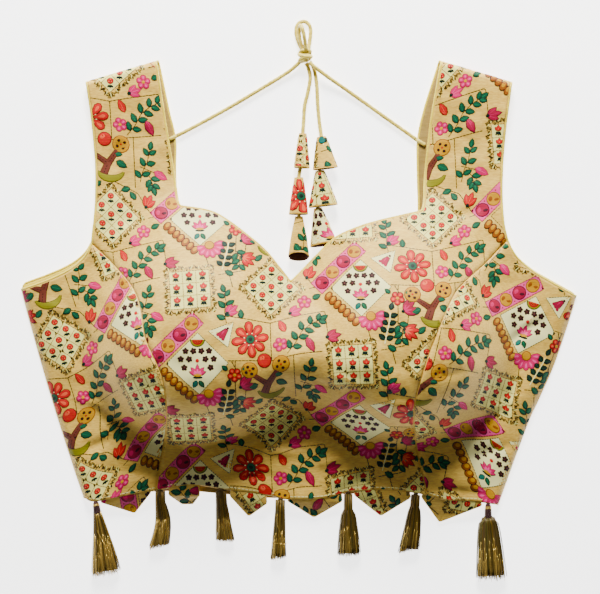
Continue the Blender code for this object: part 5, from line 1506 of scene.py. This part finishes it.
def repeat_shapes():
    """All the shapes of one repeat, around its middle."""
    shapes = placed(lattice(pi / 4, rosette), -33.0, 31.0) + placed(lattice(radians(5), tulip), 35.0, -35.0)
    shapes += placed(wheel_flower(), -50.0, -14.0, 0.0, 0.95)
    shapes += small_bloom(-5.0, 18.6, 20.0, PINK) + small_bloom(73.0, 21.0, 50.0, CORAL)
    shapes += draw_leaf(79.6, 25.0, 5.4, 3.4, 30) + draw_leaf(67.0, 25.6, 5.0, 3.2, 140)
    for group, x, y, way, scale in ((floret_patch(), 43.0, 31.0, 0, 0.92), (fruit_band(), 24.0, 50.0, 45, 1.0),
                                    (scallops(7), 27.0, 12.6, -45, 1.0), (bell_patch(), 63.5, 55.0, -40, 0.9),
                                    (fruit_branch(), -36.0, -49.0, 0, 1.0)):
        shapes += placed(group, x, y, radians(way), scale)
    shapes += placed(fan_group(), 64.0, -3.0, 0.2, 0.94)
    for leaves, stem, buds in (
            (FULL_SPRIG, ((-19, -27), (-12, -18), (-7, -8), (1, -1), (8, 3)),
             ((-3.0, -14.0, 12.6, -62.0, MAGENTA), (-21.0, -8.0, 11.0, 118.0, CORAL))),
            (SHORT_SPRIG, ((-8, -66), (-6, -57), (-2, -48), (0, -38)), ((4.0, -56.0, 12.0, -28.0, PINK),)),
            (SHORT_SPRIG[:6], ((-64, 66), (-60, 58), (-61, 49)), ()),
            (SHORT_SPRIG[2:], ((-4, 72), (1, 66), (3, 59)), ()),
            (SHORT_SPRIG, ((66, -64), (64, -55), (65, -46), (63, -38)), ())):
        shapes += sprig(leaves, stem, buds)
    for x, y, length, way, colours in ((-17.0, 8.0, 11.0, 24.0, PINK), (-3.0, 41.0, 12.0, 66.0, CORAL),
                                       (14.0, -12.0, 12.0, 12.0, MAGENTA), (-70.0, 8.0, 11.0, 38.0, PINK)):
        shapes += lily(x, y, length, way, colours)
    shapes += small_bloom(-25.0, -19.0, 40.0, PINK)
    for x, y, way in ((-47.0, 56.0, 40.0), (-58.0, 4.0, 96.0), (-12.0, 47.0, 128.0), (70.0, -22.0, 150.0),
                      (-17.0, -72.0, 200.0), (2.0, 22.0, 30.0)):
        shapes += draw_leaf(x, y, 7.4, 4.4, way)
    for line in SEAM_LINES:
        shapes += dashes(line, "bronze", 0, 2.5, 0.35, 0.75)
    return shapes


# ------------------------------------------------------- laying the print

def edges_of(points):
    return np.linalg.norm(np.roll(points, -1, axis=0) - points, axis=1)


def fine_outline(points):
    """The outline with no edge longer than the limit."""
    edges = edges_of(points)
    if edges.max() <= LONGEST_EDGE:
        return points
    finer = []
    for corner, after, edge in zip(points, np.roll(points, -1, axis=0), edges):
        count = ceil(edge / LONGEST_EDGE)
        finer += [corner + (after - corner) * step / count for step in range(count)]
    return np.array(finer)


def quilted(points):
    """A large four-cornered shape: a grid whose rim is low, over a copy sunk in the cloth."""
    sides = edges_of(points)
    columns, rows = (max(2, ceil(max(sides[first], sides[first + 2]) / GRID_CELL)) for first in (0, 1))
    v = np.linspace(0.0, 1.0, rows + 1)[:, None, None]
    u = np.linspace(0.0, 1.0, columns + 1)[None, :, None]
    grid = (points[0] * (1 - u) + points[1] * u) * (1 - v) + (points[3] * (1 - u) + points[2] * u) * v
    inner = np.zeros((rows + 1, columns + 1), bool)
    inner[1:-1, 1:-1] = True
    low = np.arange(inner.size)
    low[inner.ravel()] = inner.size + np.arange(inner.sum())
    faces = grid_faces(rows + 1, columns + 1)[:, ::-1]
    level = np.concatenate([inner.ravel().astype(float), np.full(inner.sum(), -1.0)])
    return np.vstack([grid.reshape(-1, 2), grid[inner]]), level, faces.tolist() + low[faces[:, ::-1]].tolist()


def domed(points):
    """A small shape: its rim is low and its middle raised, over a foot sunk in the cloth."""
    points = fine_outline(points)
    count = len(points)
    middle = points.mean(axis=0)
    reach = np.linalg.norm(points - middle, axis=1).max()
    rings = 2 if reach > RING_REACH else 1
    ring = middle + (points - middle) * DOME_RING
    parts = [points] + [ring] * (rings - 1) + [middle[None]]
    level = [np.zeros(count), np.ones((rings - 1) * count + 1)]
    around = np.arange(count)
    after = (around + 1) % count
    faces = []
    if rings == 2:
        faces += np.stack([around, after, after + count, around + count], axis=1).tolist()
    last, hub, foot = (rings - 1) * count, rings * count, 0
    faces += np.stack([last + around, last + after, np.full(count, hub)], axis=1).tolist()
    if reach > FOOT_REACH:
        parts.append(ring)
        level.append(np.full(count, -1.0))
        foot = hub + 1
        faces += np.stack([after, around, around + foot, after + foot], axis=1).tolist()
    parts.append(middle[None])
    level.append(np.full(1, -1.0))
    low_hub = sum(len(part) for part in parts) - 1
    faces += np.stack([foot + after, foot + around, np.full(count, low_hub)], axis=1).tolist()
    return np.vstack(parts), np.concatenate(level), faces


def plaques(shapes):
    """Shapes as thin closed plaques: flat points, heights, outward shares, faces, colours.

    Each point also has its shape's number, and each face its first corner.
    """
    names = list(PRINT_COLOURS)
    flat, height, lean, faces, colours, shape_of = [], [], [], [], [], []
    start = 0
    for number, (points, colour, layer) in enumerate(shapes):
        x, y = points.T
        if (x * np.roll(y, -1) - np.roll(x, -1) * y).sum() < 0:
            points = points[::-1]
        large = len(points) == 4 and edges_of(points).max() > GRID_FROM
        made, level, made_faces = quilted(points) if large else domed(points)
        flat.append(made)
        rise = PATCH_RISE if layer == 0 else MOTIF_RISE
        height.append(np.where(level < 0, -FOOT_DEPTH, PRINT_BASE + layer * LAYER_STEP + level * rise))
        lean.append(unit(made - points.mean(axis=0)) * (RIM_LEAN * (level == 0) if layer else 0 * level)[:, None])
        shape_of.append(np.full(len(made), number))
        faces += [[corner + start for corner in face] for face in made_faces]
        colours += [names.index(colour)] * len(made_faces)
        start += len(made)
    return {"flat": np.vstack(flat), "height": np.concatenate(height), "lean": np.vstack(lean), "faces": faces,
            "colours": np.array(colours), "shape": np.concatenate(shape_of),
            "first": np.array([face[0] for face in faces])}


class ClothMap:
    """Lengths along the cloth from a middle point, and the way back from them."""

    def __init__(self, function, middle=(0.0, 60.0)):
        self.map = HeightMap(function, (-250.0, -185.0), (250.0, 240.0))
        slope_y, slope_x = np.gradient(self.map.grid, self.map.step)
        across = np.cumsum(np.sqrt(1 + STRETCH_ACROSS * slope_x ** 2), axis=1) * self.map.step
        along = np.cumsum(np.sqrt(1 + STRETCH_ALONG * slope_y ** 2), axis=0) * self.map.step
        column, row = (int(round((middle[axis] - self.map.low[axis]) / self.map.step)) for axis in (0, 1))
        self.across = across - across[:, column:column + 1] + middle[0]
        self.along = along - along[row:row + 1] + middle[1]

    def to_cloth(self, flat):
        return np.stack([self.map.read(*flat.T, grid) for grid in (self.across, self.along)], axis=1)

    def from_cloth(self, cloth):
        flat = cloth.copy()
        for _ in range(CLOTH_MAP_TURNS):
            flat = flat + (cloth - self.to_cloth(flat)) * CLOTH_MAP_SHARE
        return flat


class SameMap:
    """Cloth that lies flat, so that its lengths are those on the surface."""

    def to_cloth(self, flat):
        return flat

    def from_cloth(self, cloth):
        return cloth


class Region:
    """The inside of a closed flat outline, as signed distances on a grid."""

    def __init__(self, outline, step=1.2, reach=6.0):
        keep = [0]
        for number in range(1, len(outline)):
            if np.hypot(*(outline[number] - outline[keep[-1]])) > OUTLINE_STEP:
                keep.append(number)
        self.outline = outline[keep]
        closed = np.vstack([self.outline, self.outline[:1]])
        low, high = self.outline.min(axis=0) - reach, self.outline.max(axis=0) + reach
        self.map = HeightMap(lambda x, y: self.signed(x, y, closed), low, high, step)

    @staticmethod
    def signed(x, y, closed):
        gap, _ = distance_to_path(x, y, closed)
        inside = np.zeros(x.shape, bool)
        for (x0, y0), (x1, y1) in zip(closed, closed[1:]):
            if y0 != y1:
                inside ^= ((y0 > y) != (y1 > y)) & (x < x0 + (x1 - x0) * (y - y0) / (y1 - y0))
        return np.where(inside, gap, -gap)

    def depth(self, flat):
        return self.map.read(flat[:, 0], flat[:, 1])

    def pull_in(self, flat, shape, margin):
        """Moves points that lie outside towards the middle of their shape's inside, up to the outline."""
        inside = self.depth(flat) >= margin
        kinds = shape.max() + 1
        count = np.maximum(np.bincount(shape[inside], minlength=kinds), 1)
        middle = np.stack([np.bincount(shape[inside], flat[inside, axis], minlength=kinds) / count
                           for axis in (0, 1)], axis=1)
        gap = np.linalg.norm(flat - middle[shape], axis=1) + np.where(inside, 0.0, 1e6)
        nearest = np.full(kinds, -1)
        order = np.argsort(-gap)
        nearest[shape[order]] = order
        outside = np.nonzero(~inside)[0]
        start = flat[nearest[shape[outside]]]
        run = flat[outside] - start
        shares = np.linspace(0.0, 1.0, PULL_STEPS + 1)
        depths = np.stack([self.depth(start + run * share) for share in shares])
        after = np.argmax(depths < margin, axis=0)
        before = np.maximum(after - 1, 0)
        column = np.arange(len(outside))
        high, low = depths[before, column], depths[after, column]
        part = np.clip((high - margin) / np.maximum(high - low, 1e-6), 0.0, 1.0)
        flat[outside] = start + run * (shares[before] + (shares[after] - shares[before]) * part)[:, None]
        return flat


def tiled(low, high):
    """Places of the repeat in its half-drop layout whose copies reach into a box."""
    reach = np.array((REPEAT_WIDTH, REPEAT_HEIGHT)) * REPEAT_REACH
    copies = []
    for column in range(int((low[0] - reach[0]) // REPEAT_WIDTH), int((high[0] + reach[0]) // REPEAT_WIDTH) + 2):
        drop = REPEAT_HEIGHT / 2 if column % 2 else 0.0
        for row in range(int((low[1] - reach[1]) // REPEAT_HEIGHT) - 1, int((high[1] + reach[1]) // REPEAT_HEIGHT) + 2):
            shift = np.array((column * REPEAT_WIDTH, row * REPEAT_HEIGHT + drop))
            if (shift + reach > low).all() and (shift - reach < high).all():
                copies.append(shift)
    return copies


def lay_print(name, cell, region, cloth_map, turn, shift, surface, materials, margin=PRINT_MARGIN):
    """The print on one piece. surface gives points and directions for flat points."""
    outline = turned(cloth_map.to_cloth(region.outline) - shift, -turn)
    laid = {"flat": [], "height": [], "lean": [], "colours": []}
    faces, offset = [], 0
    for copy in tiled(outline.min(axis=0), outline.max(axis=0)):
        flat = cloth_map.from_cloth(turned(cell["flat"] + copy, turn) + shift)
        share = np.bincount(cell["shape"], region.depth(flat) > margin) / np.bincount(cell["shape"])
        keep = (share > KEPT_SHARE)[cell["shape"]]
        if not keep.any():
            continue
        laid["flat"].append(region.pull_in(flat[keep], cell["shape"][keep], margin))
        laid["height"].append(cell["height"][keep])
        laid["lean"].append(turned(cell["lean"][keep], turn))
        laid["colours"].append(cell["colours"][keep[cell["first"]]])
        number = np.cumsum(keep) - 1 + offset
        faces += [number[face] for face, first in zip(cell["faces"], cell["first"]) if keep[first]]
        offset += keep.sum()
    laid = {key: np.concatenate(values) for key, values in laid.items()}
    return printed_piece(name, {**laid, "faces": faces}, surface, materials)


def printed_piece(name, cell, surface, materials):
    """Plaques laid on a surface; those on an underside are turned over."""
    points, normals = surface(cell["flat"])
    under = normals[:, 2].mean() < -0.5
    faces = [face[::-1] for face in cell["faces"]] if under else cell["faces"]
    piece = add_object(name, points + normals * cell["height"][:, None], faces, cell["colours"], materials,
                       "printed_silk", lowest=0.03)
    shading = normals + np.pad(cell["lean"], ((0, 0), (0, 1)))
    piece.data.normals_split_custom_set_from_vertices(unit(shading).tolist())
    return piece


def lay_stitches(name, hem, surface, materials):
    """A line of stitches beside a panel's hem, which runs in +x."""
    line = resample(hem, STITCH_STEPS)[1:-1]
    path = beside(line, STITCH_INSET)
    if path[:, 1].mean() < hem[:, 1].mean():
        path = beside(line, -STITCH_INSET)
    cell = plaques(dashes(path, "white", 1, STITCH_LENGTH, STITCH_GAP, STITCH_WIDTH))
    return printed_piece(name, cell, surface, materials)


def faces_of(piece):
    """A piece's own faces, to drop points onto."""
    return BVHTree.FromPolygons([corner.co[:] for corner in piece.data.vertices],
                                [face.vertices[:] for face in piece.data.polygons])


def on_mesh(piece, direction, place):
    """A surface function that drops flat points onto a panel's own faces."""
    tree = faces_of(piece)
    way = Vector((0.0, 0.0, direction))

    def surface(flat):
        points, normals = place(flat[:, 0], flat[:, 1])
        past = shoulder_distance(flat[:, 0], flat[:, 1]) < CAST_BELOW_FOLD
        for number in np.nonzero(~past)[0]:
            x, y, z = points[number]
            start = Vector((x * MM, y * MM, (z - direction * CAST_RISE) * MM))
            hit, _, _, _ = tree.ray_cast(start, way, 2 * CAST_RISE * MM)
            if hit is not None:
                points[number, 2] = hit.z / MM
        return points, normals

    return surface


def on_grid(piece):
    """A surface function that drops flat points onto a piece's upper face."""
    tree = faces_of(piece)

    def surface(flat):
        points = np.column_stack([flat, np.full(len(flat), 3.0)])
        normals = np.tile((0.0, 0.0, 1.0), (len(flat), 1))
        for number, (x, y) in enumerate(flat):
            hit, facing, _, _ = tree.ray_cast(Vector((x * MM, y * MM, 0.05)), Vector((0.0, 0.0, -1.0)))
            if hit is not None:
                points[number, 2] = hit.z / MM
                normals[number] = facing
        return points, normals

    return surface


def grid_outline(grid):
    """The border of a flat grid, once round."""
    return np.vstack([grid[0], grid[1:, -1], grid[-1, ::-1][1:], grid[::-1, 0][1:-1]])


def strap_outline(strap):
    return [strap[1:, 0], strap[-1, 1:], strap[::-1, -1][1:]]


def centre_outline(body, left_strap, right_strap):
    return np.vstack([body[::-1, 0], *strap_outline(left_strap), body[0, STRAP_COLUMNS:-STRAP_COLUMNS],
                      *strap_outline(right_strap), body[:, -1], body[-1, ::-1][1:-1]])


def back_outline(body, strap):
    return np.vstack([body[::-1, 0], body[0, 1:BACK_ARM_COLUMNS], *strap_outline(strap),
                      body[0, BACK_ARM_COLUMNS + STRAP_COLUMNS:], body[1:, -1], body[-1, ::-1][1:-1]])


def print_everything(panels, centre, sides, backs, points, cones):
    """The print of every piece, by the name of the piece."""
    cell = plaques(repeat_shapes())
    inks = print_materials()
    cloth_map = ClothMap(broad_height)
    front = placer(HeightMap(front_height).read, 1.0, PRINT_SLOPE_STEP)
    back = placer(HeightMap(back_lift).read, -1.0, PRINT_SLOPE_STEP)
    on_panel = {name: on_mesh(panel, *((-1, front) if "front" in name else (1, back)))
                for name, panel in panels.items()}
    prints = {"front_centre": lay_print("front_centre_print", cell, Region(centre_outline(*centre)), cloth_map, 0.0,
                                        np.array((10.0, -6.0)), on_panel["front_centre"], inks)}
    for side, turn, shift in ((-1, 0.24, (-170.0, -40.0)), (1, -0.3, (150.0, -20.0))):
        name = f"front_side_{SIDES[side]}"
        prints[name] = lay_print(name + "_print", cell, Region(grid_outline(sides[side])), cloth_map, turn,
                                 np.array(shift), on_panel[name], inks)
        name = f"back_{SIDES[side]}"
        prints[name] = lay_print(name + "_print", cell, Region(back_outline(*backs[side])), SameMap(), 0.05 * side,
                                 np.array((side * 70.0, 24.0)), on_panel[name], inks)
    hems = {"front_centre": centre[0][-1], "front_side_left": sides[-1][-1], "front_side_right": sides[1][-1]}
    for name, hem in hems.items():
        prints[name + "_stitch"] = lay_stitches(name + "_stitches", hem, on_panel[name], inks)
    for number, ((piece, grid), (turn, x, y)) in enumerate(zip(points, HEM_POINT_PRINTS), 1):
        shift = grid.reshape(-1, 2).mean(axis=0) - turned((x, y), turn)
        prints[f"hem_triangle_{number}"] = lay_print(
            f"hem_point_{number}_print", cell, Region(grid_outline(grid), 0.5, 3.0), SameMap(), turn, shift,
            on_grid(piece), inks, 0.3)
    for cone, shift in zip(cones, CONE_PRINT_SHIFTS):
        prints[cone.name] = lay_print(cone.name + "_print", cell, Region(cone.outline(), 0.5, 3.0), SameMap(), 0.0,
                                      np.array(shift), cone.lay, inks, 0.15)
    teal = plaques([(oval(0.0, -3.2, 9.0, 6.4, 0.0, 16), "green_dark", 3),
                    (oval(0.0, -3.2, 7.8, 5.4, 0.0, 16), "teal", 4)])
    prints["teal_top"] = printed_piece("latkan_right_1_top", teal, cones[3].lay, inks)
    return prints


# ----------------------------------------------------------- camera and light

def build_camera():
    data = bpy.data.cameras.new("camera")
    data.lens = CAMERA_LENS
    camera = bpy.data.objects.new("camera", data)
    bpy.context.scene.collection.objects.link(camera)
    camera.location = (CAMERA_TARGET[0] * MM, CAMERA_TARGET[1] * MM, CAMERA_HEIGHT * MM)
    bpy.context.scene.camera = camera


def build_light(name, place, target, size, power, colour):
    data = bpy.data.lights.new(name, "AREA")
    data.shape = "DISK"
    data.size = size
    data.energy = power
    data.color = colour
    light = bpy.data.objects.new(name, data)
    bpy.context.scene.collection.objects.link(light)
    light.location = place
    direction = Vector(target) - light.location
    light.rotation_euler = direction.to_track_quat("-Z", "Y").to_euler()


def build_studio():
    for row in LIGHTS:
        build_light(*row)
    world = bpy.data.worlds.new("studio")
    world.use_nodes = True
    world.node_tree.nodes["Background"].inputs["Color"].default_value = (1.0, 1.0, 1.0, 1.0)
    world.node_tree.nodes["Background"].inputs["Strength"].default_value = WORLD_STRENGTH
    bpy.context.scene.world = world
    mesh = bpy.data.meshes.new("floor")
    corners = [(x * FLOOR_SIZE, y * FLOOR_SIZE, -FLOOR_DROP) for x, y in ((-1, -1), (1, -1), (1, 1), (-1, 1))]
    mesh.from_pydata(corners, [], [(0, 1, 2, 3)])
    floor = bpy.data.objects.new("floor", mesh)
    mesh.materials.append(new_material("floor", (0.95, 0.95, 0.945), 0.9, Emission_Color=(1.0, 1.0, 1.0, 1.0),
                                       Emission_Strength=FLOOR_GLOW))
    bpy.context.scene.collection.objects.link(floor)


# ------------------------------------------------------------------- assembly

def flat_area(piece):
    """Half of a closed shell's area in square metres, which is its cloth's."""
    areas = np.zeros(len(piece.data.polygons), np.float32)
    piece.data.polygons.foreach_get("area", areas)
    return float(areas.sum()) / 2


def declare_soft(panels, pipings, points, tassels, hooks, prints):
    """For each panel, gathers the pieces that go with it and the smaller of its cloth's area and its listed size;
    nothing more is done with them.
    """
    hem = [piece for piece, _ in points] + tassels + [prints[f"hem_triangle_{number}"] for number in range(1, 7)]
    sizes = {
        "front_centre": ((0.30, 0.42), pipings["front"] + hem, ["back_left_cloth"]),
        "front_side_left": ((0.14, 0.24), [], ["back_left_cloth"]),
        "front_side_right": ((0.14, 0.25), [], ["back_right_cloth"]),
        "back_left": ((0.24, 0.38), pipings["left"], []),
        "back_right": ((0.24, 0.38), pipings["right"] + hooks, []),
    }
    for name, (flat, others, rests) in sizes.items():
        others = others + [prints[key] for key in (name, name + "_stitch") if key in prints]
        area = min(flat_area(panels[name]), flat[0] * flat[1])


def main():
    build_camera()
    looks = make_looks()
    tie, satin, cloth = looks["tie"], looks["piping"], [looks["silk"], looks["lining"]]
    cords = {name: build_dori(name, tie) for name in DORI_ROUTES}
    anchors = {side: build_anchor(f"dori_end_{side}", route, tie) for side, route in DORI_ANCHORS.items()}
    knot = build_knot(tie)
    cones = [Cone(row) for row in LATKANS]
    cone_pieces = {cone.name: cone.build([looks["silk"], looks["maroon"]]) for cone in cones}

    centre = body, left_strap, right_strap = front_centre_grids()
    sides = {side: front_side_grid(side) for side in SIDES}
    backs = {side: back_grids(side) for side in SIDES}
    panels = {"front_centre": build_cloth("front_centre_cloth", centre, front_place, FRONT_THICKNESS, cloth,
                                          ("front_centre", "front_strap_left", "front_strap_right"))}
    for side, word in SIDES.items():
        name = f"front_side_{word}"
        panels[name] = build_cloth(name + "_cloth", [sides[side]], front_place, FRONT_THICKNESS, cloth, [name])
        back, strap = backs[side]
        armhole = np.vstack([strap[:, 0], back[0][:BACK_ARM_COLUMNS + 1]])
        name = f"back_{word}"
        panels[name] = build_cloth(name + "_cloth", [back, strap], back_place, BACK_THICKNESS, cloth + [satin],
                                   [name, f"back_strap_{word}"], armhole)

    neck = body[0][STRAP_COLUMNS:-STRAP_COLUMNS]
    pipings = {"front": [
        build_piping(name, edges, front_place, FRONT_THICKNESS, side, satin) for name, edges, side in (
            ("neck_piping_front", [left_strap[::-1, -1], neck, right_strap[:, 0]], -1),
            ("armhole_piping_front_left", [left_strap[::-1, 0], sides[-1][0]], 1),
            ("armhole_piping_front_right", [right_strap[::-1, -1], sides[1][0]], -1))]}
    for side, word in SIDES.items():
        back, strap = backs[side]
        edges = {"neck": [strap[::-1, -1], back[0][BACK_ARM_COLUMNS + STRAP_COLUMNS:]],
                 "armhole": [strap[::-1, 0], back[0][:BACK_ARM_COLUMNS + 1][::-1]]}
        pipings[word] = [build_piping(f"{edge}_piping_back_{word}", edges[edge], back_place, BACK_THICKNESS, way,
                                      satin) for edge, way in (("neck", -side), ("armhole", side))]
    points = [build_triangle(number, row, cloth) for number, row in enumerate(HEM_TRIANGLES, 1)]
    random = np.random.default_rng(12)
    tassels = [build_tassel(number, row, look, looks["threads"], random)
               for number, (row, look) in enumerate(zip(HEM_TASSELS, TASSEL_LOOKS), 1)]
    hooks = [build_hook(number, y, [looks["steel"], looks["bar"]]) for number, y in enumerate(HOOK_ROWS, 1)]

    prints = print_everything(panels, centre, sides, backs, points, cones)
    declare_soft(panels, pipings, points, tassels, hooks, prints)
    build_studio()


main()
